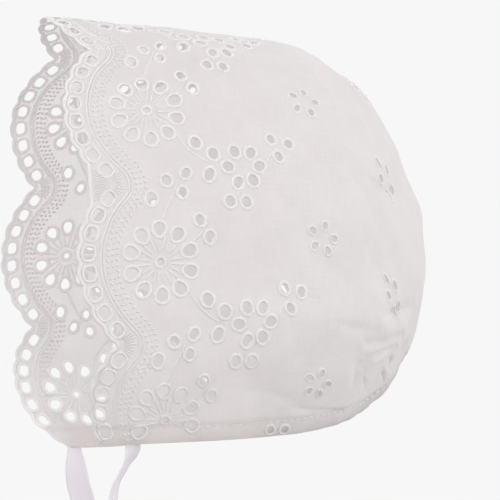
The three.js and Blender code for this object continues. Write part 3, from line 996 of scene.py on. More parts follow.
@dataclass
class EmbroideryPattern:
    """Repeating eyelet embroidery: scalloped edge, ladders, flowers and sprays."""

    form: BonnetForm
    pitch: float = 58.0
    depth: float = 11.5
    shift: float = 1.0
    sides: int = 3
    ladder_count: int = 8
    ladder_inset: float = 3.7
    ladder_length: float = 4.6
    ladder_width: float = 3.8
    ladder_squareness: float = 2.6
    ladder_rim: float = 1.25
    bulge: float = 0.95
    bulge_inset: float = 0.6
    flower_back: float = 29.8
    flower_half_round: float = 12.0
    flower_half_back: float = 10.2
    flower_petals: int = 10
    petal_length: float = 4.8
    petal_width: float = 3.9
    petal_taper: float = 0.2
    heart_size: float = 2.3
    small_radius: float = 4.8
    small_petals: int = 5
    small_length: float = 2.9
    small_width: float = 2.2
    small_rim: float = 1.1
    small_turn: float = 0.35
    small_places: tuple[tuple[float, float], ...] = ((-3.1, 84.0), (24.3, 116.5))
    small_room: float = 14.0
    edge_steps: int = 8
    notch_steps: int = 16
    stem_steps: int = 8
    vein_reach: tuple[float, float] = (0.3, 0.8)
    vein_spread: tuple[float, float] = (0.4, 1.9)
    vein_points: int = 10
    fan_spokes: int = 4
    fan_step: float = 10.5
    fan_reach: tuple[float, float] = (2.6, 7.2)
    fan_points: int = 6
    bridges: tuple[Bridge, ...] = (Bridge(88.0, 7.4, 12.0),)
    bridge_stitches: int = 12
    bridge_taper: float = 0.45
    bridge_insets: tuple[float, float] = (1.3, 1.2)
    seed_insets: tuple[float, ...] = (10.2, 11.7, 13.2)
    seed_pitch: float = 2.1
    seed_length: float = 1.5
    seed_slant: float = 0.6
    seed_reach: float = 0.8
    seed_points: int = 4

    def __post_init__(self) -> None:
        """Works out the scallop's radius and its half angle."""
        self.radius = ((self.pitch / 2) ** 2 + self.depth**2) / (2 * self.depth)
        self.spread = math.asin(self.pitch / 2 / self.radius)

    def lines(self, extra: int = 0) -> list[float]:
        """Middle lines of the repeats, from the right to the left, with extra ones at each end."""
        reach = self.sides + extra
        return [self.shift + self.pitch * step for step in range(-reach, reach + 1)]

    @staticmethod
    def tip(round_edge: Array | float) -> Array:
        """How far back the scallops' tips lie at places round the face edge."""
        places = np.array(TIP_LINE, float)
        return np.interp(round_edge, places[:, 0], places[:, 1])

    def edge(self, reach: float = 0.0) -> Array:
        """Scalloped edge with a small bulge at each eyelet of the ladder.

        Args:
            reach: How far outside the edge the line runs.

        Returns:
            Pattern millimetres from the right to the left.
        """
        steps = self.ladder_count * self.edge_steps
        share = np.arange(steps) / steps
        angle = self.spread * (2 * share - 1)
        bulge = self.bulge * (np.abs(np.sin(math.pi * share * self.ladder_count)) - self.bulge_inset)
        radius = self.radius + bulge + reach
        round_edge, back = radius * np.sin(angle), self.radius - radius * np.cos(angle)
        run = np.concatenate([np.stack([line + round_edge, back], axis=1) for line in self.lines(1)])
        run[:, 1] += self.tip(run[:, 0])
        for place, back, half in self.bridges:
            here = np.abs(run[:, 0] - place) < half
            run[here, 1] = np.minimum(run[here, 1], back - reach)
        return run

    def inner_edge(self, inset: float) -> Array:
        """Line that runs behind the scalloped edge at an even distance.

        Args:
            inset: The distance.

        Returns:
            Pattern millimetres from the right to the left.
        """
        angle = self.spread * np.linspace(-1, 1, self.ladder_count * self.edge_steps)
        reach = self.radius - inset
        arc = np.stack([reach * np.sin(angle), self.radius - reach * np.cos(angle)], axis=1)
        turn = self.spread * np.linspace(-1, 1, self.notch_steps)[1:-1]
        bend = np.stack([self.pitch / 2 + inset * np.sin(turn), self.depth + inset * np.cos(turn)], axis=1)
        run = np.concatenate([np.concatenate([arc, bend]) + (line, 0) for line in self.lines(1)])
        run[:, 1] += self.tip(run[:, 0])
        return run

    def _eyelet(self, round_edge: float, back: float, offset: Sequence[float], **sizes: float) -> Eyelet:
        """Eyelet at an offset in flat millimetres from a place of the pattern."""
        centre = self.form.flat_of_pattern(round_edge, back)
        return Eyelet(centre[0] + offset[0], centre[1] + offset[1], **sizes)

    def ladder(self, line: float) -> list[Eyelet]:
        """Eyelets along one scallop.

        Args:
            line: The repeat's middle line.

        Returns:
            The eyelets.
        """
        reach = self.radius - self.ladder_inset
        made = []
        for step in range(self.ladder_count):
            angle = self.spread * ((2 * step + 1) / self.ladder_count - 1)
            place = line + reach * math.sin(angle)
            back = self.radius - reach * math.cos(angle) + float(self.tip(place))
            made.append(self._eyelet(place, back, (0, 0), length=self.ladder_length, width=self.ladder_width,
                                     turn=angle, squareness=self.ladder_squareness, rim=self.ladder_rim))
        return made

    def flower_place(self, line: float, angle: float, share: float) -> Array:
        """Place on a ray of a large flower.

        Args:
            line: The repeat's middle line.
            angle: Direction of the ray, in radians.
            share: Share of the way from the heart to the middle of a petal.

        Returns:
            Flat millimetres.
        """
        back = self.flower_back + share * self.flower_half_back * math.sin(angle)
        centre = self.form.flat_of_pattern(line, back)
        return centre + np.array([share * self.flower_half_round * math.cos(angle), 0.0])

    def flower_angles(self) -> list[float]:
        """Directions of the petals of a large flower, in radians."""
        return [2 * math.pi * petal / self.flower_petals for petal in range(self.flower_petals)]

    def flower(self, line: float) -> list[Eyelet]:
        """Petals and heart of one large flower.

        Args:
            line: The repeat's middle line.

        Returns:
            The eyelets, the heart last.
        """
        heart = self.flower_place(line, 0.0, 0.0)
        made = []
        for angle in self.flower_angles():
            place = self.flower_place(line, angle, 1.0)
            ray = place - heart
            made.append(Eyelet(float(place[0]), float(place[1]), self.petal_length, self.petal_width,
                               math.atan2(ray[1], ray[0]), taper=self.petal_taper))
        made.append(Eyelet(float(heart[0]), float(heart[1]), self.heart_size, self.heart_size, 0.0))
        return made

    def small_flower(self, line: float, place: tuple[float, float]) -> list[Eyelet]:
        """Petals of one small flower, if it lies clear of the hem.

        Args:
            line: The repeat's middle line.
            place: Its pattern millimetres from that line and from the face edge.

        Returns:
            The eyelets.
        """
        made = []
        centre = self.form.flat_of_pattern(line + place[0], place[1])
        if self.form.over_neck(*self.form.shares_of(centre), self.small_room) < 0:
            return made
        for petal in range(self.small_petals):
            angle = (petal + self.small_turn) / self.small_petals * 2 * math.pi
            offset = (self.small_radius * math.cos(angle), self.small_radius * math.sin(angle))
            made.append(self._eyelet(line + place[0], place[1], offset, length=self.small_length,
                                     width=self.small_width, turn=angle, rim=self.small_rim))
        return made

    def eyelets(self) -> list[Eyelet]:
        """All eyelets of the cloth, also those that fall in the hem or below it.

        Returns:
            The eyelets.
        """
        made = []
        for line in self.lines():
            made += self.ladder(line) + self.flower(line)
            made += [self._eyelet(line + leaf.round, leaf.back, (0, 0), length=leaf.length, width=leaf.width,
                                  turn=math.radians(leaf.turn)) for leaf in REPEAT_LEAVES]
            for place in self.small_places:
                made += self.small_flower(line, place)
        return made

    def stems(self) -> list[Array]:
        """Stems between flowers and sprays.

        Returns:
            Lines in flat millimetres.
        """
        made = []
        for line in self.lines():
            for stem in REPEAT_STEMS:
                points = self.form.flat_of_pattern(*(np.array(stem) + (line, 0)).T)
                places = np.linspace(0, len(points) - 1, self.stem_steps * len(points))
                made.append(cubic_run(steered(points), places))
        return made

    def veins(self, keeps: Callable[[Eyelet], bool]) -> list[Array]:
        """Pairs of stitched lines from each petal of the large flowers towards its heart.

        Args:
            keeps: Tells whether a petal lies in the crown.

        Returns:
            Lines in flat millimetres.
        """
        made = []
        for line in self.lines():
            for angle, petal in zip(self.flower_angles(), self.flower(line)):
                if not keeps(petal):
                    continue
                ends = np.array([self.flower_place(line, angle, share) for share in self.vein_reach])
                outward = unit(ends[1] - ends[0])
                aside = np.array([-outward[1], outward[0]])
                for side in Side:
                    inner, outer = ends + np.outer(self.vein_spread, aside * -side.value)
                    made.append(np.linspace(inner, outer, self.vein_points))
        return made

    def cusp_fans(self) -> list[Array]:
        """Short stitches that fan out behind each notch between two scallops.

        Returns:
            Lines in flat millimetres.
        """
        made = []
        for line in self.lines():
            place = line + self.pitch / 2
            root = self.form.flat_of_pattern(place, self.depth + float(self.tip(place)))
            for spoke in range(-self.fan_spokes, self.fan_spokes + 1):
                angle = math.radians(90 + self.fan_step * spoke)
                outward = np.array([math.cos(angle), math.sin(angle)])
                start, end = (root + outward * reach for reach in self.fan_reach)
                made.append(np.linspace(start, end, self.fan_points))
        for place, back, half in self.bridges:
            notch = self.depth + float(self.tip(place))
            front, rear = np.array([back, notch]) + self.bridge_insets
            for step in np.linspace(-0.5, 0.5, self.bridge_stitches) * half:
                start = self.form.flat_of_pattern(place + step, front)
                end = self.form.flat_of_pattern(place + self.bridge_taper * step, rear)
                made.append(np.linspace(start, end, self.fan_points))
        return made

    def seeds(self) -> list[Array]:
        """Rows of short slanted stitches behind the inner cord.

        Returns:
            Lines in flat millimetres.
        """
        made = []
        for row, inset in enumerate(self.seed_insets):
            course = self.form.flat_of_pattern(*self.inner_edge(inset).T)
            run = run_of(course)
            middles = np.arange(0.5 * self.seed_pitch * (row % 2), run[-1], self.seed_pitch)
            places = read_line(course, run, middles)
            slope = unit(np.gradient(places, axis=0))
            aside = np.stack([-slope[:, 1], slope[:, 0]], axis=1)
            slant = (1 - 2 * (row % 2)) * self.seed_slant
            half = (slope * slant + aside * self.seed_reach) * (self.seed_length / 2)
            made += list(np.linspace(places - half, places + half, self.seed_points, axis=1))
        return made


# Meshes


def mesh_piece(
    name: str,
    points: Array,
    faces: Iterable[Sequence[int]],
    measure: Array | None = None,
) -> bpy.types.Object:
    """Smooth mesh object from points in millimetres.

    Args:
        name: The piece's name.
        points: Points in millimetres.
        faces: Corners of each face.
        measure: Flat place of each point in millimetres, kept for the weave.

    Returns:
        The object, in metres.
    """
    mesh = bpy.data.meshes.new(name)
    mesh.from_pydata((points * MM).tolist(), [], [list(map(int, face)) for face in faces])
    if measure is not None:
        corners = np.zeros(len(mesh.loops), np.int32)
        mesh.loops.foreach_get("vertex_index", corners)
        layer = mesh.uv_layers.new(name=FLAT_MEASURE)
        layer.uv.foreach_set("vector", (measure[corners] * MM).astype(np.float32).ravel())
    mesh.polygons.foreach_set("use_smooth", np.ones(len(mesh.polygons), bool))
    mesh.update()
    piece = bpy.data.objects.new(name, mesh)
    bpy.context.scene.collection.objects.link(piece)
    return piece


def weld(piece: bpy.types.Object) -> None:
    """Joins points of a mesh that lie together.

    Args:
        piece: The object.
    """
    work = bmesh.new()
    work.from_mesh(piece.data)
    bmesh.ops.remove_doubles(work, verts=work.verts, dist=WELD_DISTANCE)
    work.to_mesh(piece.data)
    work.free()


def join_pieces(name: str, parts: Sequence[bpy.types.Object]) -> bpy.types.Object:
    """Joins meshes into one object.

    Args:
        name: The joined piece's name.
        parts: The meshes.

    Returns:
        The joined piece.
    """
    work = bmesh.new()
    for part in parts:
        work.from_mesh(part.data)
    mesh = bpy.data.meshes.new(name)
    work.to_mesh(mesh)
    work.free()
    for part in parts:
        bpy.data.objects.remove(part)
    piece = bpy.data.objects.new(name, mesh)
    bpy.context.scene.collection.objects.link(piece)
    return piece


def grid_quads(rows: int, columns: int) -> Array:
    """Corners of the four-sided faces between points that lie in rows of equal length."""
    corner = (np.arange(rows - 1)[:, None] * columns + np.arange(columns - 1)[None, :]).reshape(-1)
    return np.stack([corner, corner + 1, corner + columns + 1, corner + columns], axis=1)


def inside_outline(points: Array, outline: Array) -> Array:
    """Which points lie inside a closed outline.

    Args:
        points: Points to test.
        outline: Corners of the outline in order.

    Returns:
        True for each point inside.
    """
    inside = np.zeros(len(points), bool)
    for start, end in zip(outline, np.roll(outline, -1, axis=0)):
        if start[1] == end[1]:
            continue
        crosses = (start[1] > points[:, 1]) != (end[1] > points[:, 1])
        share = (points[:, 1] - start[1]) / (end[1] - start[1])
        inside ^= crosses & (points[:, 0] < start[0] + share * (end[0] - start[0]))
    return inside


@dataclass
class PiercedPatch:
    """Flat patch of cloth with eyelet holes, divided into triangles."""

    outline: Array
    eyelets: list[Eyelet]
    is_creased: Callable[[Array], Array]
    spacing: float = 1.1
    creased_spacing: float = 0.55
    hole_grow: float = 0.3
    ring_grow: float = 0.9
    clearance: float = 0.55
    corners: int = 18
    same_place: float = 1e-7

    def triangles(self) -> tuple[Array, Array]:
        """Divides the patch.

        Returns:
            Points in flat millimetres, and the corners of each triangle.
        """
        loops = [self.outline] + [eyelet.outline(self.hole_grow, self.corners) for eyelet in self.eyelets]
        rings = [eyelet.outline(self.ring_grow, self.corners) for eyelet in self.eyelets]
        fixed = np.concatenate(loops + rings)
        points = np.concatenate([fixed, self._filling(fixed)])
        edges, start = [], 0
        for loop in loops:
            count = len(loop)
            edges += [(start + step, start + (step + 1) % count) for step in range(count)]
            start += count
        found = delaunay_2d_cdt([Vector(point) for point in points], edges, [], 0, self.same_place)
        flat = np.array([tuple(point) for point in found[0]])
        corners = np.array(found[2])
        return flat, corners[self._is_cloth(flat[corners].mean(axis=1))]

    def _filling(self, fixed: Array) -> Array:
        """Points spread over the patch, clear of its outlines.

        Args:
            fixed: Points of the outlines.

        Returns:
            The points between them.
        """
        wide, close = self._grid(self.spacing), self._grid(self.creased_spacing)
        spread = np.concatenate([wide[~self.is_creased(wide)], close[self.is_creased(close)]])
        spread = spread[self._is_cloth(spread)]
        tree = KDTree(len(fixed))
        for index, point in enumerate(fixed):
            tree.insert((*point, 0.0), index)
        tree.balance()
        clear = [tree.find((*point, 0.0))[2] > self.clearance for point in spread]
        return spread[np.array(clear, bool)]

    def _grid(self, spacing: float) -> Array:
        """Points in offset rows over the whole patch.

        Args:
            spacing: Distance between them.

        Returns:
            The points.
        """
        low, high = self.outline.min(axis=0), self.outline.max(axis=0)
        step = np.array([spacing, spacing * math.sqrt(0.75)])
        columns, rows = np.ceil((high - low) / step).astype(int)
        across, back = np.meshgrid(np.arange(columns), np.arange(rows))
        return np.stack([across + 0.5 * (back % 2), back], axis=-1).reshape(-1, 2) * step + low

    def _is_cloth(self, points: Array) -> Array:
        """Which points lie on cloth.

        Args:
            points: Points in flat millimetres.

        Returns:
            True for each point inside the patch and outside its holes.
        """
        kept = inside_outline(points, self.outline)
        for eyelet in self.eyelets:
            kept &= ~eyelet.holds(points, self.hole_grow)
        return kept


# Pieces of cloth and thread


@dataclass
class NeckLines:
    """Lines round the neck on the cloth, from each front corner to the nape."""

    form: BonnetForm
    pattern: EmbroideryPattern
    split: float = 0.68
    spacing: float = 1.6
    halvings: int = 40
    side_steps: int = 160
    nape_steps: int = 90
    corner_between: tuple[float, float] = (150.0, 236.0)
    side_between: tuple[float, float] = (0.55, 1.0)
    nape_between: tuple[float, float] = (0.97, 0.55)

    def _halve(self, low: Array, high: Array, test: Callable[[Array], Array]) -> Array:
        """Finds where a test changes its sign.

        Args:
            low: Places where it is above 0.
            high: Places where it is below 0.
            test: The value at places.

        Returns:
            The places between.
        """
        for _ in range(self.halvings):
            middle = (low + high) / 2
            over = test(middle) > 0
            low, high = np.where(over, middle, low), np.where(over, high, middle)
        return (low + high) / 2

    def _edge_back(self, round_edge: Array | float) -> Array:
        """How far back the face edge lies.

        Args:
            round_edge: Places round it from the top, in pattern millimetres.

        Returns:
            Distances back, in pattern millimetres.
        """
        edge = self.pattern.edge()
        order = edge[np.argsort(edge[:, 0])]
        return np.interp(round_edge, order[:, 0], order[:, 1])

    def corner(self, lift: float, side: Side) -> float:
        """Where the face edge meets a neck line.

        Args:
            lift: How far the line is raised over the neck edge.
            side: The wearer's side.

        Returns:
            Pattern millimetres round the face edge.
        """
        def over(round_edge: Array) -> Array:
            """Height of the edge over the neck line."""
            along = self._edge_back(round_edge) / self.form.back_length
            return self.form.over_neck(along, round_edge / self.form.face_half, lift)

        low, high = (np.array([end * side.value]) for end in self.corner_between)
        return float(self._halve(low, high, over)[0])

    def line(self, lift: float, side: Side) -> Array:
        """One neck line.

        Args:
            lift: How far it is raised over the neck edge.
            side: The wearer's side.

        Returns:
            Places along and around, from the front corner to the nape.
        """
        start = self._edge_back(self.corner(lift, side)) / self.form.back_length
        along = np.linspace(start, self.split, self.side_steps)
        low, high = (np.full(self.side_steps, end * side.value) for end in self.side_between)
        around = self._halve(low, high, lambda place: self.form.over_neck(along, place, lift))
        round_back = np.linspace(around[-1], side.value, self.nape_steps)[1:]
        low, high = (np.full(self.nape_steps - 1, end) for end in self.nape_between)
        back = self._halve(low, high, lambda place: self.form.over_neck(place, round_back, lift))
        whole = np.stack([np.concatenate([along, back]), np.concatenate([around, round_back])], axis=1)
        run = run_of(self.form.place(whole[:, 0], whole[:, 1]))
        return read_line(whole, run, np.linspace(0, run[-1], int(run[-1] / self.spacing) + 1))


@dataclass
class Crown:
    """Embroidered cloth that makes the whole cap, down to the fold of its hem."""

    form: BonnetForm
    pattern: EmbroideryPattern
    neck: NeckLines
    finish: CottonFinish
    fold_room: float = 0.3
    cut_width: float = 0.406
    cut_length: float = 0.205
    cut_area: float = 0.062
    eyelet_room: float = 0.2
    eyelet_reach: float = 0.75
    eyelet_corners: int = 12
    seam_limit: float = 0.995
    seam_steps: int = 36
    corner_room: float = 0.4
    creased_low: tuple[float, float] = (0.64, 0.48)
    creased_high: tuple[float, float] = (0.83, 0.67)

    def outline(self) -> Array:
        """Edge of the cloth in flat millimetres: the scallops, the fold at the neck and the closed back.

        Returns:
            Corners in order.
        """
        lift = self.fold_room
        edge = self.pattern.edge()
        left, right = (self.neck.corner(lift, side) for side in Side)
        face = edge[(edge[:, 0] > right + self.corner_room) & (edge[:, 0] < left - self.corner_room)]
        left_line, right_line = (self.neck.line(lift, side) for side in Side)
        rise = np.linspace(left_line[-1, 0], 1.0, self.seam_steps)
        runs = [
            self.form.flat_of_pattern(face[:, 0], face[:, 1]),
            self.form.flat_of(left_line[:, 0], left_line[:, 1]),
            self.form.flat_of(rise[1:], 1.0),
            self.form.flat_of(rise[1:-1][::-1], -1.0),
            self.form.flat_of(right_line[::-1, 0], right_line[::-1, 1]),
        ]
        return np.concatenate(runs)

    def keeps(self, eyelet: Eyelet) -> bool:
        """Whether an eyelet lies whole in the crown.

        Args:
            eyelet: The eyelet.

        Returns:
            True if it is clear of the fold.
        """
        ring = eyelet.outline(eyelet.rim * self.eyelet_reach, self.eyelet_corners)
        along, around = self.form.shares_of(ring)
        over = self.form.over_neck(along, around, self.eyelet_room)
        return bool(np.all(np.abs(around) < self.seam_limit) and np.all(over > 0))

    def is_creased(self, points: Array) -> Array:
        """Which points lie in the creased cloth beside the nape.

        Args:
            points: Points in flat millimetres.

        Returns:
            True for each point there.
        """
        along, around = self.form.shares_of(points)
        places = np.stack([np.abs(around), along], axis=-1)
        return np.all((places > self.creased_low) & (places < self.creased_high), axis=-1)

    def build(self) -> bpy.types.Object:
        """Makes the cloth.

        Returns:
            The piece.
        """
        eyelets = [eyelet for eyelet in self.pattern.eyelets() if self.keeps(eyelet)]
        flat, corners = PiercedPatch(self.outline(), eyelets, self.is_creased).triangles()
        piece = mesh_piece("crown_cloth", self.form.lay(flat), corners, flat)
        weld(piece)
        return piece

    def dress(self, piece: bpy.types.Object, trimmings: Sequence[bpy.types.Object]) -> None:
        """Gives the cloth its finish and its place in the part.

        Args:
            piece: The cloth.
            trimmings: Pieces that are sewn on it; not used.
        """
        piece.data.materials.append(self.finish.material())
        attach(piece, BODY)
        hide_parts("crown")


@dataclass
class ThreadStrip:
    """Raised line of thread on the cloth, in flat millimetres."""

    path: Array
    half_width: float
    height: float
    form: StitchForm = StitchForm.CORD
    closed: bool = False
    ridge: float = 0.0
    uneven: Array | float = 0.0
    taper: bool = True
    sunk: float = 0.2


@dataclass
class ThreadMesh:
    """Gathers raised lines of thread into one mesh."""

    form: BonnetForm
    points: list[Array] = field(default_factory=list)
    faces: list[Array] = field(default_factory=list)
    measures: list[Array] = field(default_factory=list)
    count: int = 0
    taper_rate: float = 5.0
    blunt_end: float = 0.35

    def add(self, strip: ThreadStrip, under: float = -0.25) -> None:
        """Adds one line of thread.

        Args:
            strip: The line.
            under: Lowest height of it over the cloth.
        """
        path, sides = strip.path, strip.form.value
        if strip.closed:
            slope = np.roll(path, -1, axis=0) - np.roll(path, 1, axis=0)
            path, slope = (np.vstack([rows, rows[:1]]) for rows in (path, slope))
        else:
            slope = np.gradient(path, axis=0)
        steps = len(path)
        slope = unit(slope)
        aside = np.stack([slope[:, 1], -slope[:, 0]], axis=1)
        swell = 1 + strip.ridge * (1 - 2 * (np.arange(steps) % 2)) + np.resize(strip.uneven, steps)
        swell[-1] = swell[0] if strip.closed else swell[-1]
        if strip.taper and not strip.closed:
            share = np.linspace(0, 1, steps)
            swell = swell * np.clip(np.minimum(share, 1 - share) * self.taper_rate + self.blunt_end, 0, 1)
        angle = np.arange(sides) / sides * 2 * math.pi
        out = np.cos(angle)[None, :] * swell[:, None] * strip.half_width
        lift = np.maximum(np.sin(angle)[None, :] * swell[:, None] * strip.height - strip.sunk, under)
        flat = path[:, None, :] + aside[:, None, :] * out[..., None]
        measure = np.broadcast_arrays(np.sin(angle)[None, :], run_of(path)[:, None])
        self.points.append(self.form.lay(flat.reshape(-1, 2), lift.reshape(-1)))
        self.measures.append(np.stack(measure, axis=2).reshape(-1, 2))
        self._join(steps, sides, strip.closed)

    def _join(self, steps: int, sides: int, closed: bool) -> None:
        """Adds the faces of the line that was just added.

        Args:
            steps: Number of points along the line.
            sides: Number of sides of its section.
            closed: Whether its end meets its start.
        """
        here = np.arange(steps - 1)[:, None] * sides
        there = here + sides
        side, beside = np.arange(sides)[None, :], (np.arange(sides)[None, :] + 1) % sides
        quads = np.broadcast_arrays(here + side, there + side, there + beside, here + beside)
        self.faces += list(np.stack(quads, axis=2).reshape(-1, 4) + self.count)
        if not closed:
            self.faces.append(np.arange(sides) + self.count)
            self.faces.append(np.arange(sides)[::-1] + self.count + (steps - 1) * sides)
        self.count += steps * sides

    def piece(self, name: str) -> bpy.types.Object:
        """Makes the mesh, as a piece of that name."""
        return mesh_piece(name, np.concatenate(self.points), self.faces, np.concatenate(self.measures))


@dataclass
class Embroidery:
    """Raised threads on the crown: the bound edge, rims, stems and filling lines."""

    form: BonnetForm
    pattern: EmbroideryPattern
    crown: Crown
    finish: ThreadFinish
    rim_corners: int = 30
    rim_height: float = 0.6
    rim_ridge: float = 0.1
    rim_unevenness: float = 0.09
    rim_seed: int = 11
    rim_lap: float = 0.1
    rim_wander: float = 0.5
    rim_slack: float = 0.05
    rim_reach: float = 0.8
    edge_half_width: float = 0.78
    edge_height: float = 0.6
    edge_ridge: float = 0.04
    edge_inset: float = 0.5
    edge_room: float = 0.2
    cords: tuple[tuple[float, float], ...] = ((7.7, 0.5), (8.8, 0.36))
    cord_height: float = 0.6
    cord_ridge: float = 0.1
    cord_room: float = 0.4
    seed_size: tuple[float, float] = (0.42, 0.5)
    seed_sunk: float = 0.1
    seed_under: float = 0.02
    stem_size: tuple[float, float] = (0.42, 0.5)
    vein_size: tuple[float, float] = (0.4, 0.55)
    fan_size: tuple[float, float] = (0.38, 0.55)
    line_room: float = 0.5
    least_points: int = 3

    def _kept_runs(self, line: Array, room: float, clear: bool = False) -> list[Array]:
        """Parts of a line that lie on the crown's cloth.

        Args:
            line: The line in flat millimetres.
            room: Distance kept over the fold at the neck.
            clear: Whether the line stops at eyelets.

        Returns:
            The parts that are long enough.
        """
        kept = self.form.over_neck(*self.form.shares_of(line), room) > 0
        if clear:
            kept &= self._is_clear(line)
        kept = np.concatenate([[False], kept, [False]]).astype(int)
        starts, ends = np.flatnonzero(np.diff(kept) == 1), np.flatnonzero(np.diff(kept) == -1)
        return [line[start:end] for start, end in zip(starts, ends) if end - start >= self.least_points]

    def _is_clear(self, points: Array) -> Array:
        """Which points lie on the cloth and clear of every eyelet.

        Args:
            points: Points in flat millimetres.

        Returns:
            True for each point that is clear.
        """
        kept = self.form.over_neck(*self.form.shares_of(points), self.line_room) > 0
        for eyelet in self.pattern.eyelets():
            kept &= ~eyelet.holds(points, eyelet.rim * self.rim_reach)
        return kept

    def rim(self, eyelet: Eyelet) -> ThreadStrip:
        """Satin-stitched rim of an eyelet.

        Args:
            eyelet: The eyelet.

        Returns:
            The rim.
        """
        draw = np.random.default_rng([self.rim_seed, int(100 * abs(eyelet.round)), int(100 * eyelet.back)])
        uneven = draw.normal(0, self.rim_unevenness, self.rim_corners)
        path = eyelet.outline(eyelet.rim / 2 - self.rim_lap + self.rim_wander * uneven, self.rim_corners)
        height = self.rim_height * min(1.0, eyelet.rim)
        return ThreadStrip(path, eyelet.rim / 2 - self.rim_slack, height, StitchForm.SATIN, closed=True,
                           ridge=self.rim_ridge, uneven=uneven)

    def build_rims(self) -> bpy.types.Object:
        """Makes the rims of all eyelets in the crown.

        Returns:
            The piece.
        """
        mesh = ThreadMesh(self.form)
        for eyelet in self.pattern.eyelets():
            if self.crown.keeps(eyelet):
                mesh.add(self.rim(eyelet))
        return mesh.piece("eyelet_rims")

    def build_lines(self) -> bpy.types.Object:
        """Makes the bound edge, the cords and rows of short stitches behind it, stems, veins and fans.

        Returns:
            The piece.
        """
        mesh = ThreadMesh(self.form)
        edge = self.form.flat_of_pattern(*self.pattern.edge(-self.edge_inset).T)
        for run in self._kept_runs(edge, self.edge_room):
            mesh.add(ThreadStrip(run, self.edge_half_width, self.edge_height, StitchForm.SATIN,
                                 ridge=self.edge_ridge, taper=False))
        for inset, half_width in self.cords:
            cord = self.form.flat_of_pattern(*self.pattern.inner_edge(inset).T)
            for run in self._kept_runs(cord, self.cord_room, clear=True):
                mesh.add(ThreadStrip(run, half_width, self.cord_height, ridge=self.cord_ridge))
        every = np.array(self.pattern.seeds())
        for seed in every[self._is_clear(every.mean(axis=1))]:
            strip = ThreadStrip(seed, *self.seed_size, StitchForm.FINE, sunk=self.seed_sunk)
            mesh.add(strip, self.seed_under)
        groups = (
            (self.pattern.stems(), self.stem_size),
            (self.pattern.veins(self.crown.keeps), self.vein_size),
            (self.pattern.cusp_fans(), self.fan_size),
        )
        for lines, size in groups:
            for line in lines:
                for run in self._kept_runs(line, self.line_room):
                    mesh.add(ThreadStrip(run, *size))
        return mesh.piece("embroidered_lines")

    def dress(self, pieces: Sequence[bpy.types.Object]) -> None:
        """Gives the threads their finish and their place in the part.

        Args:
            pieces: The pieces of thread.
        """
        material = self.finish.material()
        for piece in pieces:
            piece.data.materials.append(material)
            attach(piece, BODY)


@dataclass
class NeckHem:
    """Hem turned up round the neck from one front corner to the other, with its stitching."""

    form: BonnetForm
    neck: NeckLines
    finish: CottonFinish
    thread: ThreadFinish
    height: float = 7.2
    inner_depth: float = 1.3
    lip: float = 0.16
    lap: float = 0.8
    drop: float = 0.3
    settling: float = 0.6
    lap_rows: int = 2
    bend_rows: int = 5
    turn_rows: int = 14
    stitch_lift: float = 5.7
    stitch_length: float = 2.3
    stitch_gap: float = 1.0
    stitch_start: float = 36.0
    stitch_points: int = 5
    stitch_size: tuple[float, float] = (0.3, 0.34)

    def build_turning(self, side: Side) -> bpy.types.Object:
        """Makes the layer that is turned up inside the bonnet, from the fold at the neck edge.

        Args:
            side: The wearer's side.

        Returns:
            The piece.
        """
        lines = [self.neck.line(lift, side) for lift in (0.0, self.height, self.lap)]
        columns = len(lines[0])
        share = np.linspace(0, 1, columns)
        low, high, outer = (read_line(line, np.linspace(0, 1, len(line)), share) for line in lines)
        rows, measures = [], []
        for step in range(self.turn_rows + 1):
            bend = np.clip((step - 1) / self.bend_rows, 0, 1)
            rise = max(0.0, (step - self.bend_rows) / (self.turn_rows - self.bend_rows))
            lead = max(0.0, 1 - step / self.lap_rows)
            inward = (self.lip + self.inner_depth) * (1 - math.cos(math.pi * bend)) / 2
            depth = self.lip - inward + self.settling * rise
            place = low * (1 - rise - lead) + high * rise + outer * lead
            points = self.form.place(place[:, 0], place[:, 1], depth)
            points[:, 2] -= self.drop * math.sin(math.pi * bend)
            rows.append(points)
            measures.append(self.form.flat_of(place[:, 0], place[:, 1]))
        quads = grid_quads(self.turn_rows + 1, columns)
        if side is Side.LEFT:
            quads = quads[:, ::-1]
        name = "neck_turning_" + side.name.lower()
        return mesh_piece(name, np.concatenate(rows), quads, np.concatenate(measures))

    def build(self) -> bpy.types.Object:
        """Makes the whole hem as one piece.

        Returns:
            The piece.
        """
        hem = join_pieces("neck_hem", [self.build_turning(side) for side in Side])
        weld(hem)
        return hem

    def build_stitches(self) -> bpy.types.Object:
        """Makes the hem's running stitches.

        Returns:
            The piece.
        """
        mesh = ThreadMesh(self.form)
        for side in Side:
            line = self.neck.line(self.stitch_lift, side)
            flat = self.form.flat_of(line[:, 0], line[:, 1])
            run = run_of(self.form.lay(flat))
            step = self.stitch_length + self.stitch_gap
            for start in np.arange(self.stitch_start, run[-1] - step, step):
                wanted = np.linspace(start, start + self.stitch_length, self.stitch_points)
                path = read_line(flat, run, wanted)
                mesh.add(ThreadStrip(path, *self.stitch_size, StitchForm.FINE, sunk=0.0))
        return mesh.piece("hem_stitches")

    def dress(self, hem: bpy.types.Object, stitches: bpy.types.Object) -> None:
        """Gives the hem its finishes and its place in the part.

        Args:
            hem: The hem's cloth.
            stitches: Its thread.
        """
        hem.data.materials.append(self.finish.material())
        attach(hem, BODY)
        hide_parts("neck_casing")
        stitches.data.materials.append(self.thread.material())
        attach(stitches, BODY)


# Ribbon ties


class RoutePlace(NamedTuple):
    """Place on a tie's route: its middle, its turn in degrees and its width."""

    across: float
    back: float
    height: float
    turn: float
    width: float


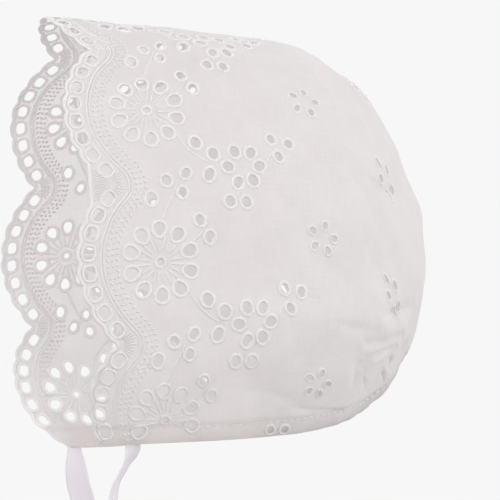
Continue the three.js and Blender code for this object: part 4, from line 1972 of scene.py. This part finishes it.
LEFT_ROUTE = (
    RoutePlace(51.4, -65.6, -151.6, 0, 5.6), RoutePlace(51.4, -65.6, -154.3, 0, 5.6),
    RoutePlace(51.4, -65.6, -155.4, -4, 5.6), RoutePlace(51, -66.3, -157.8, -20, 5.6),
    RoutePlace(50.2, -67.6, -160.8, -44, 6), RoutePlace(49.1, -69.3, -164.6, -50, 7),
    RoutePlace(48, -71.1, -168.8, -54, 8.2), RoutePlace(47, -72, -175, -54, 9.2),
    RoutePlace(46.3, -72.6, -185, -52, 9.5), RoutePlace(46, -72.8, -200, -48, 9.5),
    RoutePlace(46, -72.8, -220, -40, 9.5), RoutePlace(46, -72.8, -245, -30, 9.5),
    RoutePlace(46, -72.8, -272, -20, 9.5), RoutePlace(46, -72.8, -300, -12, 9.5),
    RoutePlace(46, -72.8, -324, -8, 9.5), RoutePlace(46, -72.8, -346, -5, 9.5),
)

RIGHT_ROUTE = (
    RoutePlace(-42.6, -61, -162.6, 4, 5.7), RoutePlace(-41.5, -61, -164.5, 4, 5.7),
    RoutePlace(-41.5, -61, -166, 5, 5.9), RoutePlace(-41.2, -60.8, -168.5, 10, 7),
    RoutePlace(-41, -60.6, -171, 15, 8.1), RoutePlace(-40.8, -60.2, -174.5, 18, 8.9),
    RoutePlace(-40.8, -59.2, -180, 20, 9.4), RoutePlace(-40.8, -57.4, -186, 20, 9.5),
    RoutePlace(-40.8, -56, -193, 20, 9.5), RoutePlace(-40.8, -55, -203, 18, 9.5),
    RoutePlace(-40.8, -54.6, -218, 14, 9.5), RoutePlace(-40.8, -54.6, -238, 10, 9.5),
    RoutePlace(-40.8, -54.6, -262, 6, 9.5), RoutePlace(-40.8, -54.6, -290, 2, 9.5),
    RoutePlace(-40.8, -54.6, -320, -2, 9.5), RoutePlace(-40.8, -54.6, -352, -6, 9.5),
)


@dataclass
class RibbonTie:
    """Ribbon tie that hangs from a front corner, sewn inside the hem and cut straight at its end."""

    side: Side
    route: Sequence[RoutePlace]
    finish: RibbonFinish
    full_width: float = 9.5
    thickness: float = 0.34
    selvedge: float = 0.16
    selvedge_sharpness: int = 12
    cup: float = 0.35
    cup_pinched: float = 1.4
    cup_middle: float = 0.4
    steps_between: int = 7
    across_steps: int = 12

    def course(self) -> Array:
        """Smooth route of the ribbon.

        Returns:
            Across, back, height, turn and width at each step.
        """
        table = np.array(self.route, float)
        last = len(table) - 1
        return cubic_run(steered(table), np.linspace(0, last, self.steps_between * last + 1))

    def build(self) -> bpy.types.Object:
        """Makes the ribbon.

        Returns:
            The piece.
        """
        course = self.course()
        middle, turns, widths = course[:, :3], np.radians(course[:, 3]), course[:, 4]
        along = unit(np.gradient(middle, axis=0))
        flat = unit(np.array([0.0, 1.0, 0.0]) - along * along[:, 1:2])
        thick = np.cross(along, flat)
        cos, sin = np.cos(turns)[:, None], np.sin(turns)[:, None]
        flat, thick = flat * cos + thick * sin, thick * cos - flat * sin
        share = np.linspace(-1, 1, self.across_steps + 1)
        pinch = 1 - widths / self.full_width
        cup = (self.cup + self.cup_pinched * pinch)[:, None] * (share**2 - self.cup_middle)[None, :]
        half = self.thickness / 2 + self.selvedge * np.abs(share) ** self.selvedge_sharpness
        spread = middle[:, None, :] + flat[:, None, :] * (share[None, :] * widths[:, None] / 2)[..., None]
        layers = []
        for side in Side:
            deep = side.value * half[None, :] + cup
            layers.append((spread + thick[:, None, :] * deep[..., None]).reshape(-1, 3))
        measure = np.broadcast_arrays(share[None, :] * self.full_width / 2, run_of(middle)[:, None])
        measure = np.tile(np.stack(measure, axis=2).reshape(-1, 2), (2, 1))
        name = "ribbon_tie_" + self.side.name.lower()
        return mesh_piece(name, np.concatenate(layers), self._faces(len(course)), measure)

    def _faces(self, steps: int) -> list[Sequence[int]]:
        """Faces of a closed ribbon.

        Args:
            steps: Number of places along it.

        Returns:
            Corners of each face.
        """
        wide = self.across_steps + 1
        layer = steps * wide
        front = grid_quads(steps, wide)
        back = front[:, ::-1] + layer
        faces = list(front) + list(back)
        for step in range(steps - 1):
            here = step * wide
            faces.append((here, here + wide, here + wide + layer, here + layer))
            there = here + wide - 1
            faces.append((there + wide, there, there + layer, there + wide + layer))
        last = (steps - 1) * wide
        for column in range(wide - 1):
            faces.append((column + 1, column, column + layer, column + 1 + layer))
            faces.append((last + column, last + column + 1, last + column + 1 + layer, last + column + layer))
        return faces

    def dress(self, piece: bpy.types.Object) -> None:
        """Gives the ribbon its finish and its place in the part.

        Args:
            piece: The ribbon.
        """
        path = self.course()[:, :3] * MM
        piece.data.materials.append(self.finish.material())
        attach(piece, BODY)
        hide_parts("tie_" + self.side.name.lower())


# Studio


class Lamp(NamedTuple):
    """Square lamp that faces the bonnet: its name, place, side in metres and power in watts."""

    name: str
    place: tuple[float, float, float]
    size: float
    power: float


LAMPS = (
    Lamp("key_light", (0.8, -0.15, 1.2), 0.5, 4.3),
    Lamp("top_light", (0.1, 0.5, 1.5), 1.0, 1.1),
    Lamp("back_light", (0.7, 0.95, -0.19), 0.32, 3.6),
    Lamp("face_light", (0.6, -1.05, 0.35), 0.6, 3.0),
    Lamp("far_light", (-1.0, 0.1, 0.85), 0.5, 3.3),
)


@dataclass
class Studio:
    """Camera at the picture's angle, pale paper and soft light."""

    paper: PaperFinish
    turn: float = 21.0
    distance: float = 0.8
    eye_height: float = -0.0835
    lens: float = 144.0
    sensor: float = 36.0
    near_limit: float = 0.01
    far_limit: float = 60.0
    lamp_aim: float = -0.08
    floor_height: float = -0.362
    room: float = 3.4
    sky: float = 0.93
    sky_band: float = 0.3
    sky_dome: float = 0.65
    dome_share: float = 0.71
    front_share: float = 0.81

    def outward(self) -> Vector:
        """Level direction from the bonnet to the camera."""
        angle = math.radians(self.turn)
        return Vector((math.cos(angle), -math.sin(angle), 0.0))

    def place_camera(self) -> None:
        """Sets up the camera."""
        lens = bpy.data.cameras.new("camera")
        lens.lens, lens.sensor_width, lens.sensor_fit = self.lens, self.sensor, "HORIZONTAL"
        lens.clip_start, lens.clip_end = self.near_limit, self.far_limit
        camera = bpy.data.objects.new("camera", lens)
        camera.location = self.outward() * self.distance + Vector((0.0, 0.0, self.eye_height))
        camera.rotation_euler = (-self.outward()).to_track_quat("-Z", "Y").to_euler()
        bpy.context.scene.collection.objects.link(camera)
        bpy.context.scene.camera = camera

    def build_paper(self) -> None:
        """Makes the floor."""
        corners = ((-1, -1), (1, -1), (1, 1), (-1, 1))
        points = np.array([(x * self.room, y * self.room, self.floor_height) for x, y in corners])
        floor = mesh_piece("studio_floor", points / MM, [(0, 1, 2, 3)])
        floor.data.materials.append(self.paper.material(self.outward(), self.front_share))

    def light(self) -> None:
        """Sets a soft sky and the lamps."""
        world = bpy.data.worlds.new("soft_sky")
        bench = ShaderBench(world)
        way = bench.node("ShaderNodeTexCoord", None, None, "Generated")
        rise = bench.node("ShaderNodeSeparateXYZ", None, {0: way}, 2)
        front = bench.facing(way, self.outward())
        overhead = bench.stepped(rise, self.sky_band, self.sky_dome, (self.sky, self.sky * self.dome_share))
        strength = overhead * bench.sided(front, self.front_share)
        bench.finish(bench.node("ShaderNodeBackground", None, {0: (1.0, 1.0, 1.0, 1.0), 1: strength}),
                     "ShaderNodeOutputWorld")
        bpy.context.scene.world = world
        for lamp in LAMPS:
            self._set_lamp(lamp)

    def _set_lamp(self, lamp: Lamp) -> None:
        """Sets one lamp.

        Args:
            lamp: The lamp.
        """
        light = bpy.data.lights.new(lamp.name, "AREA")
        light.size, light.energy = lamp.size, lamp.power
        holder = bpy.data.objects.new(lamp.name, light)
        holder.location = lamp.place
        way = Vector((0.0, 0.0, self.lamp_aim)) - Vector(lamp.place)
        holder.rotation_euler = way.to_track_quat("-Z", "Y").to_euler()
        bpy.context.scene.collection.objects.link(holder)


def report(piece: bpy.types.Object) -> None:
    """Logs a finished piece."""
    LOG.info("%s: %d points, %d faces", piece.name, len(piece.data.vertices), len(piece.data.polygons))


def main() -> None:
    """Builds the picture: camera, ties, cloth, embroidery, hem and light."""
    logging.basicConfig(level=logging.INFO, format="%(name)s: %(message)s")
    view = bpy.context.scene.view_settings
    view.view_transform, view.look = "Standard", "None"
    studio = Studio(PaperFinish())
    studio.place_camera()
    for side, route in ((Side.LEFT, LEFT_ROUTE), (Side.RIGHT, RIGHT_ROUTE)):
        tie = RibbonTie(side, route, RibbonFinish())
        ribbon = tie.build()
        tie.dress(ribbon)
        report(ribbon)
    form = BonnetForm()
    pattern = EmbroideryPattern(form)
    neck = NeckLines(form, pattern)
    cotton, thread = CottonFinish(), ThreadFinish()
    crown = Crown(form, pattern, neck, cotton)
    cloth = crown.build()
    report(cloth)
    embroidery = Embroidery(form, pattern, crown, thread)
    threads = [embroidery.build_rims(), embroidery.build_lines()]
    embroidery.dress(threads)
    hem = NeckHem(form, neck, cotton, thread)
    band, stitches = hem.build(), hem.build_stitches()
    hem.dress(band, stitches)
    for piece in (*threads, band, stitches):
        report(piece)
    crown.dress(cloth, [*threads, band, stitches])
    studio.build_paper()
    studio.light()


if __name__ == "__main__":
    main()
